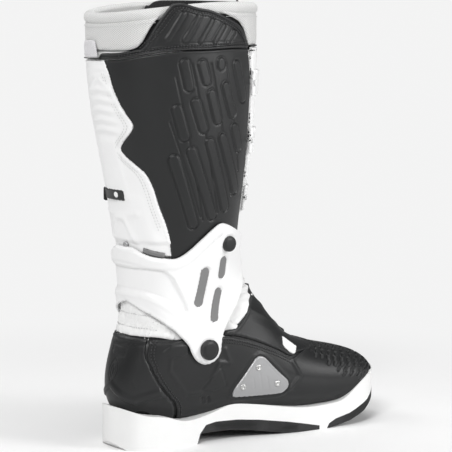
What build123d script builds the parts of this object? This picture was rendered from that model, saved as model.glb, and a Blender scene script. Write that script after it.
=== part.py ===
"""Left motocross boot: soft leather boot in moulded shells, with a hinged ankle brace and four buckles.

Frame: +X towards the toe, +Y to the outer side of the foot, -Y to the inner side, +Z up, millimetres.
The origin is the centre of the heel's flat bottom, so the boot stands on Z = 0.

The boot is described by closed sections that fan out along the leg and the foot. Every layer of the boot is
the space between two copies of that body, offset by the layer's inner and outer distance, and cut to an
outline drawn in the XZ plane. The distances are the LAYER values below.
"""

from build123d import *
import os
from math import copysign, cos, pi, sin

os.makedirs("parts", exist_ok=True)

# ---- driving dimensions --------------------------------------------------------------------------

# Layers, as distances outside the last-shaped body.
LINER = (-4.0, -0.2)
LEATHER = (0.0, 2.0)
GUARD = (2.2, 4.2)
PLATE = (2.2, 5.4)
COLLAR = (2.2, 6.4)
STRAP = (6.2, 8.4)
BRACE = (5.6, 9.0)

# Sections: front point x, z; rear or bottom point x, z; half width; centre y; taper; squareness; toe lean.
SECTIONS = (
    (257, 54, 257, 44, 10, -8, 0.00, 2.20, 1.00),
    (254, 59, 254, 38, 24, -8, 0.00, 2.20, 0.85),
    (247, 65, 248, 31, 35, -7, -0.05, 2.40, 0.60),
    (232, 71, 233, 26, 44, -5, -0.10, 2.50, 0.25),
    (207, 77, 209, 23, 49, -1, -0.14, 2.60, 0.00),
    (178, 86, 173, 22, 51, 2, -0.16, 2.60, 0.00),
    (153, 100, 135, 22, 49, 2, -0.15, 2.60, 0.00),
    (132, 123, 89, 24, 45, 1, -0.10, 2.60, 0.00),
    (117, 141, 46, 24, 41, 0, -0.04, 2.60, 0.00),
    (108, 157, 1, 24, 39, 0, 0.02, 2.50, 0.00),
    (102, 171, -30, 40, 39, 0, 0.05, 2.40, 0.00),
    (99, 185, -34, 72, 40, 0, 0.05, 2.30, 0.00),
    (97, 199, -22, 108, 42, 0, 0.03, 2.25, 0.00),
    (98, 214, -14, 145, 46, 0, 0.00, 2.20, 0.00),
    (101, 240, -17, 190, 52, 0, -0.02, 2.15, 0.00),
    (108, 280, -26, 248, 58, 0, -0.03, 2.10, 0.00),
    (113, 328, -39, 310, 62, 0, -0.03, 2.10, 0.00),
    (115, 380, -47, 366, 64, 0, -0.02, 2.10, 0.00),
    (115, 439, -49, 427, 64, 0, -0.02, 2.10, 0.00),
    (114, 475, -50, 463, 64, 0, -0.02, 2.10, 0.00),
)
SECTION_POINTS = 20
FOOT_SPAN = (0, 13)
SHAFT_SPAN = (9, 19)
BRACE_SPAN = (7, 17)
SIDE_REACH = 130

# Ankle pivots, in XZ, with the radii of their bolts.
LOWER_PIVOT = (43, 95)
UPPER_PIVOT = (61, 198)
LOWER_SHANK_R = 6.0
UPPER_SHANK_R = 4.0
LOWER_HEAD_R = 10.0
UPPER_HEAD_R = 7.6
RUNNING_GAP = 0.05
HEAD_THICK = 3.0
SCREW_R = 1.5
SCREW_HEAD_R = 3.0

# Buckles: heights of the three shaft straps, strap width, and where the parts sit along X on the outer side.
STRAP_Z = (352, 296, 240)
STRAP_WIDTH = 26
STRAP_MEDIAL_X = 98
STRAP_LATERAL_X = 46
PIN_X = 38
PIN_R = 1.5
PIN_PROUD = 4.2
LEVER_LENGTH = 40
LEVER_WIDTH = 15
LEVER_THICK = 4
FRAME_WIDTH = 22
CATCH_X = 8

INSTEP_STRAP = (4.6, 6.6)
INSTEP_PIN = (117, 70)
INSTEP_CATCH = (100, 46)
INSTEP_TURN = -54

SHIN_EDGE_X = 91

# Small parts on the rear, as Y from and to, then Z from and to.
PULL_TAB = (-2, 22, 377, 393)
REAR_TAG = (-13, 21, 241, 251.5)

# Sole
SOLE_PLAN = (
    (-41, 0), (-37, -17), (-26, -31), (0, -38), (33, -38), (60, -38), (90, -41), (120, -46), (150, -51),
    (180, -53), (208, -55), (232, -55), (249, -48), (260, -34), (267, -8), (262, 15), (250, 34), (233, 46),
    (208, 53), (180, 55), (150, 53), (120, 49), (90, 45), (60, 41), (33, 39), (0, 38), (-26, 31), (-37, 17),
)
SOLE_TOP = (
    (-60, 42), (-32, 39), (-20, 34.5), (2, 31), (18, 26), (30, 25), (45, 27), (58, 30), (76, 35), (92, 34.5),
    (122, 30), (164, 24.5), (190, 25), (207, 28), (219, 36), (232, 45), (245, 51), (262, 55), (290, 56),
)
SOLE_BOTTOM = (
    (290, 62), (268, 42), (255, 27), (235, 13), (215, 5), (190, 0), (153, 0), (130, 2), (100, 7), (75, 10),
    (42, 10), (38, 0), (-34, 0), (-42, 7), (-60, 7),
)
ARCH_TREAD_TOP = (
    (36, -5), (41, 10), (48, 18), (60, 20), (85, 19.4), (108, 17), (140, 12), (160, 8), (178, 4),
)
TOE_TREAD_TOP = ((184, -5), (190, 5), (198, 9), (215, 13), (240, 24), (258, 38), (290, 70))
HEEL_TREAD = (-32, 30, 28, 5.0)


# ---- the body and its layers ---------------------------------------------------------------------

def section_wire(row, offset):
    """Closed smooth outline of one section, grown by the offset."""
    front_x, front_z, rear_x, rear_z, half_width, centre_y, taper, square, lean = row
    centre_x = (front_x + rear_x) / 2 + offset * lean
    centre_z = (front_z + rear_z) / 2
    reach_x = (front_x - rear_x) / 2
    reach_z = (front_z - rear_z) / 2
    reach = (reach_x ** 2 + reach_z ** 2) ** 0.5
    points = []
    for i in range(SECTION_POINTS):
        turn = 2 * pi * i / SECTION_POINTS
        c = cos(turn)
        s = sin(turn)
        along = (reach + offset) * copysign(abs(c) ** (2 / square), c)
        across = (half_width + offset) * copysign(abs(s) ** (2 / square), s) * (1 + taper * c)
        x = centre_x + reach_x / reach * along
        z = centre_z + reach_z / reach * along
        points.append((x, centre_y + across, z))
    return Wire([Edge.make_spline(points, periodic=True)])


_bodies = {}


def body(offset, span):
    """Solid through the sections of the span, grown by the offset. Each one is made once."""
    if (offset, span) not in _bodies:
        wires = [section_wire(row, offset) for row in SECTIONS[span[0]:span[1] + 1]]
        _bodies[offset, span] = Solid.make_loft(wires)
    return _bodies[offset, span]


def layer(depths, span):
    """The space between two offsets of the body."""
    return body(depths[1], span) - body(depths[0], span)


def half_width_at(x, z, offset):
    """Distance from the middle plane to the body's side, at a point of the XZ plane."""
    for low, high in zip(SECTIONS, SECTIONS[1:]):
        gaps = []
        for row in (low, high):
            gaps.append((x - row[2]) * (row[1] - row[3]) - (z - row[3]) * (row[0] - row[2]))
        if gaps[0] * gaps[1] <= 0 and low[0] + high[0] > 0:
            share = gaps[0] / (gaps[0] - gaps[1])
            row = [a + (b - a) * share for a, b in zip(low, high)]
            reach = (((row[0] - row[2]) / 2) ** 2 + ((row[1] - row[3]) / 2) ** 2) ** 0.5
            from_centre = ((x - (row[0] + row[2]) / 2) * (row[0] - row[2])
                           + (z - (row[1] + row[3]) / 2) * (row[1] - row[3])) / (2 * reach)
            ratio = min(0.999, abs(from_centre) / (reach + offset))
            c = copysign(ratio ** (row[7] / 2), from_centre)
            return (row[4] + offset) * (1 - ratio ** row[7]) ** (1 / row[7]) * (1 + row[6] * c)
    raise ValueError("point lies outside the body")


# ---- outlines ------------------------------------------------------------------------------------

INNER = (-SIDE_REACH, 0)
OUTER = (0, SIDE_REACH)
BOTH = (-SIDE_REACH, SIDE_REACH)


def prism(edges, sides):
    """Solid with the given closed XZ outline, from the first to the second Y of sides."""
    face = make_face(Plane.XZ * edges)
    return Pos(0, sides[0], 0) * extrude(face, amount=sides[1] - sides[0], dir=(0, 1, 0))


def straight(points, sides=BOTH):
    return prism(Polyline(*points, close=True), sides)


def curved(points, sides=BOTH):
    return prism(Spline(*points, periodic=True), sides)


def disc(x, z, radius, y_from, y_to):
    """Cylinder whose axis runs along Y."""
    length = abs(y_to - y_from)
    return Pos(x, (y_from + y_to) / 2, z) * Rot(90, 0, 0) * Cylinder(radius, length)


def block(x_from, x_to, y_from, y_to, z_from, z_to):
    size = Box(x_to - x_from, y_to - y_from, z_to - z_from)
    return Pos((x_from + x_to) / 2, (y_from + y_to) / 2, (z_from + z_to) / 2) * size


# Outlines of the trimmed pieces, as XZ points.
FOOT_LOW = ((-70, -10), (-70, 104), (0, 110), (70, 106), (112, 96), (160, 96), (300, 96), (300, -10))
GAITER = ((-70, 104.3), (0, 110.3), (70, 106.3), (78, 105), (78, 142), (20, 125), (-70, 117))
FOOT_INSIDE = ((-70, -10), (-70, 117), (20, 125), (78, 142), (100, 150), (170, 152), (300, 96), (300, -10))
BELLOWS = ((78.3, 105.2), (112, 96.3), (170, 96.3), (170, 152), (100, 150), (78.3, 142.2))
SHAFT = (
    (-80, 176), (0, 172), (60, 188), (85, 202), (150, 208), (150, 428), (20, 426), (-8, 424), (-30, 421),
    (-50, 417), (-80, 412),
)
BRACE_OUTLINE = (
    (-28, 194), (-16, 189), (-4, 186), (6, 189), (16, 197), (28, 207), (40, 215), (57, 218), (76, 213),
    (90, 203), (95, 190), (97, 172), (95, 155), (86, 140), (74, 126), (65, 113), (60, 96), (52, 81),
    (43, 78), (33, 82), (24, 96), (14, 107), (-2, 119), (-18, 132), (-34, 141), (-60, 145), (-66, 170),
    (-54, 194),
)
BRACE_SLOTS = (((36, 171), (31.5, 143)), ((60, 181), (59.7, 167)), ((56, 150), (52, 126)))
SLOT_WIDTH = 9.2
CALF_MEDIAL = (
    (-90, 378), (-53, 377), (-49, 350), (-41, 326), (-36, 313), (-39, 296), (-31, 276), (-24, 268),
    (-18, 255), (-12, 237), (-7, 219), (-8, 205), (-90, 205),
)
CALF_LATERAL = (
    (-90, 378), (-12, 384), (-6, 350), (-2, 300), (0, 250), (2, 205), (-90, 205),
)
GRIP = (
    (-49, 377.5), (-44, 351), (-36, 326), (-31, 313), (-34, 298), (-34, 291), (-26, 277), (-19, 268),
    (-13, 255), (-6, 236), (0, 218), (2, 203), (12, 200), (22, 209), (40, 220), (57, 223), (80, 217),
    (85.4, 222), (86, 255), (87.6, 298), (89, 333), (89, 354), (87.2, 368), (83.5, 382), (30, 383),
    (-1, 382), (-26, 380),
)
TOP_FLAP = (
    (-45, 381), (-37, 384), (-31, 388), (-23, 406), (-10, 426), (-3, 427), (17, 424), (33, 421), (53, 414),
    (67, 408), (78, 399), (84, 386), (30, 387), (-1, 386), (-26, 384),
)
COLLAR_MEDIAL_REAR = (
    (-90, 381), (-48, 382), (-40, 385.5), (-34, 390), (-26, 407), (-15, 423), (-15, 425), (-30, 423),
    (-50, 419), (-90, 413),
)
COLLAR_MEDIAL_FRONT = (
    (20, 425.4), (35, 422.6), (55, 415.6), (69, 409.8), (81, 400.6), (88, 388.5), (150, 388.5),
    (150, 430), (20, 428),
)
COLLAR_LATERAL = (
    (-90, 381), (-40, 385), (-10, 388.5), (150, 388.5), (150, 430), (20, 428), (-8, 426), (-30, 423),
    (-50, 419), (-90, 413),
)
SHIN_MEDIAL = ((SHIN_EDGE_X, 222), (SHIN_EDGE_X, 387), (150, 387), (150, 222))
SHIN_LATERAL = ((24, 228), (22, 300), (24, 387), (150, 387), (150, 222), (70, 226))
TONGUE = ((62, 215), (40, 300), (10, 400), (-8, 424), (20, 431.5), (70, 434), (150, 433), (150, 215))
TONGUE_MEDIAL = ((80, 215), (80, 428), (150, 431), (150, 215))
LATERAL_PANEL = ((3, 205), (1.5, 250), (-0.5, 300), (-4, 350), (-8, 382), (21, 382), (19, 300), (21, 214))
HEEL_CUP = (
    (-70, -10), (-70, 107), (-29, 106), (-9, 110), (4, 114), (2, 106), (-14, 100), (-17, 92), (-14, 82),
    (-5, 65), (7, 48), (17, 35), (28, 20), (28, -10),
)
GUARD_OUTLINE = (
    (31, 10), (20, 35), (9, 50), (-2, 66), (-11, 82), (-10, 92), (0, 96), (18, 92), (22, 76), (34, 70),
    (52, 70), (66, 78), (74, 92), (96, 92), (118, 88), (142, 80), (158, 74), (170, 60), (178, 40),
    (184, 10),
)
TOE_CAP = ((161, 84), (173, 60), (181, 40), (187, 10), (300, 10), (300, 110), (150, 110))
INSTEP_PATCH = ((141, 98), (157, 88), (150, 80), (139, 88))
INSTEP_STRAP_MEDIAL = ((138, 89), (149, 82), (180, 90), (170, 130), (128, 130))
INSTEP_STRAP_LATERAL = ((112, 76), (128, 64), (152, 88), (180, 110), (160, 130), (130, 130), (130, 106))
MEDIAL_PLATE = (
    (76, 43.5), (74.5, 46), (76, 50), (101, 78.5), (105, 81), (109.5, 79), (137, 54.5), (138, 50),
    (134, 45.5), (128, 42), (100, 42),
)
PLATE_SCREW_XZ = ((104, 71), (86, 53), (125, 53))


def sole_solid(rise):
    """The whole sole, upper and treads together, with its top edge raised by rise."""
    plan = extrude(make_face(Spline(*SOLE_PLAN, periodic=True)), amount=80)
    top_points = [(x, z + rise) for x, z in SOLE_TOP]
    top = Spline(*top_points)
    rim = Polyline(top_points[-1], *SOLE_BOTTOM, top_points[0])
    return plan & prism(top + rim, BOTH)


def make_sole(pieces):
    """White midsole wall with black treads under the heel, the arch and the toe."""
    whole = sole_solid(0)
    arch_zone = straight((*ARCH_TREAD_TOP, (178, -20), (36, -20)))
    toe_zone = straight((*TOE_TREAD_TOP, (290, -20), (184, -20)))
    x_from, x_to, half, height = HEEL_TREAD
    heel = fillet(block(x_from, x_to, -half, half, 0, height).edges().filter_by(Axis.Z), 10)
    pieces["heel_tread"] = heel
    pieces["arch_tread"] = whole & arch_zone
    foot = body(GUARD[0], FOOT_SPAN)
    pieces["toe_tread"] = (whole & toe_zone) - foot
    pieces["midsole"] = whole - arch_zone - toe_zone - heel - foot


def make_foot(pieces):
    """The shoe inside the shells: liner, boards, leather, gaiter and bellows."""
    leather = layer(LEATHER, FOOT_SPAN)
    liner = layer(LINER, FOOT_SPAN)
    room = body(LINER[0] - 0.1, FOOT_SPAN)
    shank = block(5, 125, -11, 11, 30.0, 31.6)
    low = block(-60, 290, -90, 90, 0, 32)
    mid = block(-60, 290, -90, 90, 32.2, 37)
    pieces["foot_upper"] = leather & straight(FOOT_LOW)
    pieces["ankle_gaiter"] = leather & straight(GAITER)
    pieces["instep_bellows"] = leather & straight(BELLOWS)
    pieces["foot_liner"] = liner & straight(FOOT_INSIDE)
    pieces["insole_board"] = (room & low) - block(4.8, 125.2, -11.2, 11.2, 29.8, 40)
    pieces["shank"] = shank
    pieces["footbed"] = room & mid


def make_guards(pieces):
    """Moulded guards bonded over the leather of the foot."""
    above_sole = layer(GUARD, FOOT_SPAN) - sole_solid(0.2)
    pivot_room = disc(*LOWER_PIVOT, 16, -SIDE_REACH, SIDE_REACH)
    guard = above_sole & straight(GUARD_OUTLINE)
    guard = guard - pivot_room
    pieces["heel_cup"] = (above_sole & straight(HEEL_CUP)) - pivot_room
    pieces["toe_cap"] = above_sole & straight(TOE_CAP)
    pieces["medial_guard"] = guard & block(-90, 300, -SIDE_REACH, -1, -10, 200)
    pieces["lateral_guard"] = guard & block(-90, 300, 1, SIDE_REACH, -10, 200)
    plate = layer((GUARD[1] + 0.1, GUARD[1] + 1.6), FOOT_SPAN)
    pieces["guard_plate"] = plate & straight(MEDIAL_PLATE, INNER)
    screws = []
    for x, z in PLATE_SCREW_XZ:
        hole = disc(x, z, SCREW_R + RUNNING_GAP, -SIDE_REACH, 0)
        head = disc(x, z, SCREW_HEAD_R, -SIDE_REACH, 0)
        head = head & layer((GUARD[1] + 1.7, GUARD[1] + 3.2), FOOT_SPAN)
        shank = disc(x, z, SCREW_R, -SIDE_REACH, 0)
        shank = shank & layer((GUARD[0], GUARD[1] + 2.4), FOOT_SPAN)
        screws.append(head + shank)
        pieces["guard_plate"] = pieces["guard_plate"] - hole
        pieces["medial_guard"] = pieces["medial_guard"] - hole
    pieces["plate_screws"] = grouped(screws)


def make_brace(pieces):
    """U-shaped ankle brace that turns on the lower bolts and carries the shaft on the upper bolts."""
    brace = layer(BRACE, BRACE_SPAN) & curved(BRACE_OUTLINE)
    inserts = []
    for low, high in BRACE_SLOTS:
        slot = slot_prism(low, high, SLOT_WIDTH)
        filling = slot_prism(low, high, SLOT_WIDTH - 0.4)
        inserts.append(layer((BRACE[0] + 0.4, BRACE[1] - 1.0), BRACE_SPAN) & filling)
        brace = brace - slot
    for (x, z), radius, bore in ((LOWER_PIVOT, 14, LOWER_SHANK_R), (UPPER_PIVOT, 11, UPPER_SHANK_R)):
        face = boss_face(x, z)
        for side in (-1, 1):
            boss = disc(x, z, radius, side * (face - 4.0), side * face) - body(BRACE[0], BRACE_SPAN)
            brace = brace + boss
            brace = brace - disc(x, z, bore + RUNNING_GAP, 0, side * SIDE_REACH)
            brace = brace - disc(x, z, radius + 2, side * (face + 0.01), side * SIDE_REACH)
    pieces["ankle_brace"] = brace
    pieces["brace_inserts"] = grouped(inserts)


def grouped(shapes):
    """One node of separate solids."""
    return Compound(children=[solid for shape in shapes for solid in shape.solids()])


def slot_prism(low, high, width):
    """Prism with a round-ended slot outline between two XZ points."""
    middle = ((low[0] + high[0]) / 2, (low[1] + high[1]) / 2)
    run_x = high[0] - low[0]
    run_z = high[1] - low[1]
    length = (run_x ** 2 + run_z ** 2) ** 0.5
    start = (middle[0], -SIDE_REACH, middle[1])
    place = Plane(origin=start, x_dir=(run_x, 0, run_z), z_dir=(0, 1, 0))
    face = place * SlotCenterToCenter(length, width)
    return extrude(face, amount=2 * SIDE_REACH, dir=(0, 1, 0))


def boss_face(x, z):
    """Distance from the middle plane to the flat outer face of a pivot boss."""
    return half_width_at(x, z, BRACE[1]) + 1.2


def make_pivot_bolts(pieces):
    """Shouldered bolts and the nuts that hold them inside the boot, on both sides."""
    foot = (("foot_upper",), "foot_liner", FOOT_SPAN)
    leg = (("shaft_upper", "grip_panel"), "shaft_liner", SHAFT_SPAN)
    specs = (
        ("lower", LOWER_PIVOT, LOWER_SHANK_R, LOWER_HEAD_R, 11.0, *foot),
        ("upper", UPPER_PIVOT, UPPER_SHANK_R, UPPER_HEAD_R, 9.0, *leg),
    )
    for name, (x, z), shank_r, head_r, nut_r, walls, liner, span in specs:
        face = boss_face(x, z)
        inside = half_width_at(x, z, 0)
        bolts = []
        nuts = []
        for side in (-1, 1):
            head = disc(x, z, head_r, side * (face + 0.05), side * (face + HEAD_THICK))
            shank = disc(x, z, shank_r, side * (inside - 0.5), side * (face + 0.1))
            thread = disc(x, z, shank_r - 2, side * (inside - 3.4), side * inside)
            socket = disc(x, z, 2.5, side * (face + 1.4), side * (face + HEAD_THICK + 1))
            bolts.append(head + shank + thread - socket)
            nut = disc(x, z, nut_r, side * (inside - 3.6), side * (inside - 0.6))
            nut = nut & body(LINER[1], span)
            nuts.append(nut - disc(x, z, shank_r - 2 + RUNNING_GAP, 0, side * SIDE_REACH))
            for wall in walls:
                pieces[wall] = pieces[wall] - disc(x, z, shank_r + RUNNING_GAP, 0, side * SIDE_REACH)
        pieces[liner] = pieces[liner] - disc(x, z, nut_r + 0.3, -SIDE_REACH, SIDE_REACH)
        pieces[name + "_pivot_bolts"] = grouped(bolts)
        pieces[name + "_pivot_nuts"] = grouped(nuts)


def make_shaft(pieces):
    """The tall part around the leg: liner, leather, padded collar, panels and plates."""
    plate = layer(PLATE, SHAFT_SPAN)
    collar = layer(COLLAR, SHAFT_SPAN)
    collar_zone = straight(COLLAR_LATERAL, OUTER) + straight(COLLAR_MEDIAL_REAR, INNER)
    collar_zone = collar_zone + straight(COLLAR_MEDIAL_FRONT, INNER)
    pieces["shaft_liner"] = layer(LINER, SHAFT_SPAN) & straight(SHAFT)
    pieces["shaft_upper"] = layer(LEATHER, SHAFT_SPAN) & straight(SHAFT)
    pieces["collar"] = collar & collar_zone
    pieces["top_flap"] = layer(GUARD, SHAFT_SPAN) & straight(TOP_FLAP, INNER)
    pieces["grip_panel"] = layer(GUARD, SHAFT_SPAN) & straight(GRIP, INNER)
    pieces["calf_plate"] = plate & (straight(CALF_MEDIAL, INNER) + straight(CALF_LATERAL, OUTER))
    pieces["lateral_panel"] = layer(GUARD, SHAFT_SPAN) & straight(LATERAL_PANEL, OUTER)
    tab = layer((COLLAR[1] + 0.1, COLLAR[1] + 1.6), SHAFT_SPAN)
    tag = layer((PLATE[1] + 0.1, PLATE[1] + 1.2), SHAFT_SPAN)
    pieces["pull_tab"] = tab & block(-90, 0, *PULL_TAB)
    pieces["rear_tag"] = tag & block(-90, 0, *REAR_TAG)
    pieces["tongue"] = layer((LINER[0] - 4.2, LINER[0] - 0.2), SHAFT_SPAN) & tongue_zone()


def tongue_zone():
    """Front of the leg opening, a little wider than the shin plate's closure."""
    return straight(TONGUE, OUTER) + straight(TONGUE_MEDIAL, INNER)


def make_shin_closure(pieces):
    """Shin plate that opens on the inner front edge, with the roots of the three shaft straps."""
    zone = straight(SHIN_MEDIAL, INNER) + straight(SHIN_LATERAL, OUTER)
    pieces["shin_plate"] = layer(PLATE, SHAFT_SPAN) & zone
    root = layer((PLATE[1] + 0.1, STRAP[1]), SHAFT_SPAN)
    roots = []
    screws = []
    for z in STRAP_Z:
        low = z - STRAP_WIDTH / 2
        high = z + STRAP_WIDTH / 2
        band = block(SHIN_EDGE_X + 0.6, STRAP_MEDIAL_X - 0.9, -SIDE_REACH, 0, low, high)
        x = (SHIN_EDGE_X + STRAP_MEDIAL_X) / 2
        hole = disc(x, z, SCREW_R + RUNNING_GAP, -SIDE_REACH, 0)
        head = disc(x, z, SCREW_HEAD_R, -SIDE_REACH, -20)
        head = head & layer((STRAP[1] + 0.1, STRAP[1] + 1.4), SHAFT_SPAN)
        shank = disc(x, z, SCREW_R, -SIDE_REACH, -20)
        shank = shank & layer((PLATE[0] + 0.2, STRAP[1] + 0.6), SHAFT_SPAN)
        roots.append((root & band) - hole)
        screws.append(head + shank)
        pieces["shin_plate"] = pieces["shin_plate"] - hole
    pieces["strap_roots"] = grouped(roots)
    pieces["root_screws"] = grouped(screws)


def make_shaft_buckles(pieces):
    """Three straps round the shin, each with a frame, a pin, a lever and a catch."""
    band = layer(STRAP, SHAFT_SPAN)
    for number, z in enumerate(STRAP_Z, start=1):
        low = z - STRAP_WIDTH / 2
        high = z + STRAP_WIDTH / 2
        zone = block(STRAP_MEDIAL_X, 150, -SIDE_REACH, 0, low, high)
        zone = zone + block(STRAP_LATERAL_X, 150, 0, SIDE_REACH, low, high)
        pieces[f"strap_{number}"] = band & zone
        skin = half_width_at(PIN_X, z, STRAP[1])
        make_buckle(pieces, number, Pos(PIN_X, skin + PIN_PROUD, z), body(STRAP[1] + 0.1, SHAFT_SPAN))
        skin = half_width_at(CATCH_X, z, PLATE[1])
        catch = Pos(CATCH_X, skin, z) * catch_block()
        pieces[f"catch_{number}"] = catch - body(PLATE[1] + 0.1, SHAFT_SPAN)


def make_instep_buckle(pieces):
    """Strap over the instep, with its buckle low on the outer side of the foot."""
    pieces["instep_patch"] = layer(GUARD, FOOT_SPAN) & straight(INSTEP_PATCH, INNER)
    zone = straight(INSTEP_STRAP_MEDIAL, INNER) + straight(INSTEP_STRAP_LATERAL, OUTER)
    pieces["strap_4"] = layer(INSTEP_STRAP, FOOT_SPAN) & zone
    x, z = INSTEP_PIN
    skin = half_width_at(x, z, INSTEP_STRAP[1])
    place = Pos(x, skin + PIN_PROUD, z) * Rot(0, INSTEP_TURN, 0)
    make_buckle(pieces, 4, place, body(INSTEP_STRAP[1] + 0.1, FOOT_SPAN))
    x, z = INSTEP_CATCH
    skin = half_width_at(x, z, GUARD[1])
    catch = Pos(x, skin, z) * Rot(0, INSTEP_TURN, 0) * catch_block()
    pieces["catch_4"] = catch - body(GUARD[1] + 0.1, FOOT_SPAN)


def make_buckle(pieces, number, place, under):
    """Frame on the strap's end and lever, built round the pin. Local +X leads to the strap, +Y outwards."""
    half = FRAME_WIDTH / 2
    floor = 1.4 - PIN_PROUD
    base = block(-4, 18, -PIN_PROUD - 8, floor, -half, half)
    ears = block(-4, 6, floor - 1, 3, -half, half)
    ears = ears - block(-10, 10, floor, 10, 3 - half, half - 3)
    pin = Cylinder(PIN_R, FRAME_WIDTH)
    frame = place * (base + ears - Cylinder(PIN_R, FRAME_WIDTH + 2))
    lever = block(-LEVER_LENGTH, 0, -1.4, LEVER_THICK - 1.4, -LEVER_WIDTH / 2, LEVER_WIDTH / 2)
    lever = fillet(lever.edges().filter_by(Axis.Y), 3) + Cylinder(2.6, LEVER_WIDTH)
    pieces[f"buckle_frame_{number}"] = frame - under
    pieces[f"lever_pin_{number}"] = place * pin
    pieces[f"lever_{number}"] = place * (lever - Cylinder(PIN_R + RUNNING_GAP, FRAME_WIDTH))


def catch_block():
    """Receiver block that sits under a lever, centred on its place on the plate."""
    return block(-9, 9, -6, 3.2, -9, 9)


pieces = {}
make_sole(pieces)
make_foot(pieces)
make_guards(pieces)
make_brace(pieces)
make_shaft(pieces)
make_shin_closure(pieces)
make_shaft_buckles(pieces)
make_instep_buckle(pieces)
make_pivot_bolts(pieces)

for name, shape in pieces.items():
    solids = shape.solids()
    shape = solids[0] if len(solids) == 1 else Compound(children=list(solids))
    export_step(shape, f"parts/{name}.step")
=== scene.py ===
"""Looks of the motocross boot: moulded shells, leather, mesh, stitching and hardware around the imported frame.

Lengths below are millimetres in the row's frame; MM turns them into Blender's metres. The boot's body is the
same fan of sections as the CAD source. A piece is a patch of that body between two offsets, with an outline.
"""

import math

import bpy
import numpy as np
from mathutils import Matrix, Vector, kdtree
from mathutils.geometry import delaunay_2d_cdt


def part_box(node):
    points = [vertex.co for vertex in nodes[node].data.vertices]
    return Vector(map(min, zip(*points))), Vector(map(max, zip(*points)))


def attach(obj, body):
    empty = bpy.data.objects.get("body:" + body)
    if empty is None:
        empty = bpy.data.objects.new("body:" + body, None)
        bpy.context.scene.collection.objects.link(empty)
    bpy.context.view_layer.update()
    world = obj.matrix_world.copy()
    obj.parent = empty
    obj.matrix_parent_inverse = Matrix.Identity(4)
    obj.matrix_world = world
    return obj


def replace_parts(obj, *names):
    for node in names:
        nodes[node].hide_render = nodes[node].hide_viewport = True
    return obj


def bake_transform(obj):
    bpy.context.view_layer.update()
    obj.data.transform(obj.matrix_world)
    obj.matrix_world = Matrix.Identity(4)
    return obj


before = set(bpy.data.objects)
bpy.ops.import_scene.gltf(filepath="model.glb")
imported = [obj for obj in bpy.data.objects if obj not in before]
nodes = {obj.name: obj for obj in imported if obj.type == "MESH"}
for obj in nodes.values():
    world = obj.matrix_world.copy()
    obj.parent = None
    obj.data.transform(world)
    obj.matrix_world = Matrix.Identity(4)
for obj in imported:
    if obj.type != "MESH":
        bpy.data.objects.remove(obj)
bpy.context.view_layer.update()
MM = 0.001

# ---- the body ------------------------------------------------------------------------------------

# Front point x, z; rear or bottom point x, z; half width; centre y; taper; squareness; toe lean.
SECTIONS = np.array([
    (257, 54, 257, 44, 10, -8, 0.00, 2.20, 1.00),
    (254, 59, 254, 38, 24, -8, 0.00, 2.20, 0.85),
    (247, 65, 248, 31, 35, -7, -0.05, 2.40, 0.60),
    (232, 71, 233, 26, 44, -5, -0.10, 2.50, 0.25),
    (207, 77, 209, 23, 49, -1, -0.14, 2.60, 0.00),
    (178, 86, 173, 22, 51, 2, -0.16, 2.60, 0.00),
    (153, 100, 135, 22, 49, 2, -0.15, 2.60, 0.00),
    (132, 123, 89, 24, 45, 1, -0.10, 2.60, 0.00),
    (117, 141, 46, 24, 41, 0, -0.04, 2.60, 0.00),
    (108, 157, 1, 24, 39, 0, 0.02, 2.50, 0.00),
    (102, 171, -30, 40, 39, 0, 0.05, 2.40, 0.00),
    (99, 185, -34, 72, 40, 0, 0.05, 2.30, 0.00),
    (97, 199, -22, 108, 42, 0, 0.03, 2.25, 0.00),
    (98, 214, -14, 145, 46, 0, 0.00, 2.20, 0.00),
    (101, 240, -17, 190, 52, 0, -0.02, 2.15, 0.00),
    (108, 280, -26, 248, 58, 0, -0.03, 2.10, 0.00),
    (113, 328, -39, 310, 62, 0, -0.03, 2.10, 0.00),
    (115, 380, -47, 366, 64, 0, -0.02, 2.10, 0.00),
    (115, 439, -49, 427, 64, 0, -0.02, 2.10, 0.00),
    (114, 475, -50, 463, 64, 0, -0.02, 2.10, 0.00),
], float)
INNER, OUTER = -1, 1
TURN = 2 * math.pi
A_SCALE = 55.0          # rough millimetres per radian round the body
LEG_RADIUS = 62.0       # rough radius of the upper leg
FOOT_RADIUS = 48.0      # rough radius of the forefoot
LEG_SCAN = 800          # first entry of SCAN that lies on the leg


def second_differences(rows):
    """Bends of a natural cubic spline through the rows."""
    count = len(rows)
    system = np.eye(count)
    right = np.zeros_like(rows)
    for i in range(1, count - 1):
        system[i, i - 1:i + 2] = (1, 4, 1)
        right[i] = 6 * (rows[i - 1] - 2 * rows[i] + rows[i + 1])
    return np.linalg.solve(system, right)


BENDS = second_differences(SECTIONS)


def row_at(t):
    """Section values at section number t, by a natural cubic spline."""
    t = np.clip(np.asarray(t, float), 0, len(SECTIONS) - 1)
    i = np.minimum(t.astype(int), len(SECTIONS) - 2)
    f = (t - i)[..., None]
    g = 1 - f
    return (g * SECTIONS[i] + f * SECTIONS[i + 1]
            + ((g ** 3 - g) * BENDS[i] + (f ** 3 - f) * BENDS[i + 1]) / 6)


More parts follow.
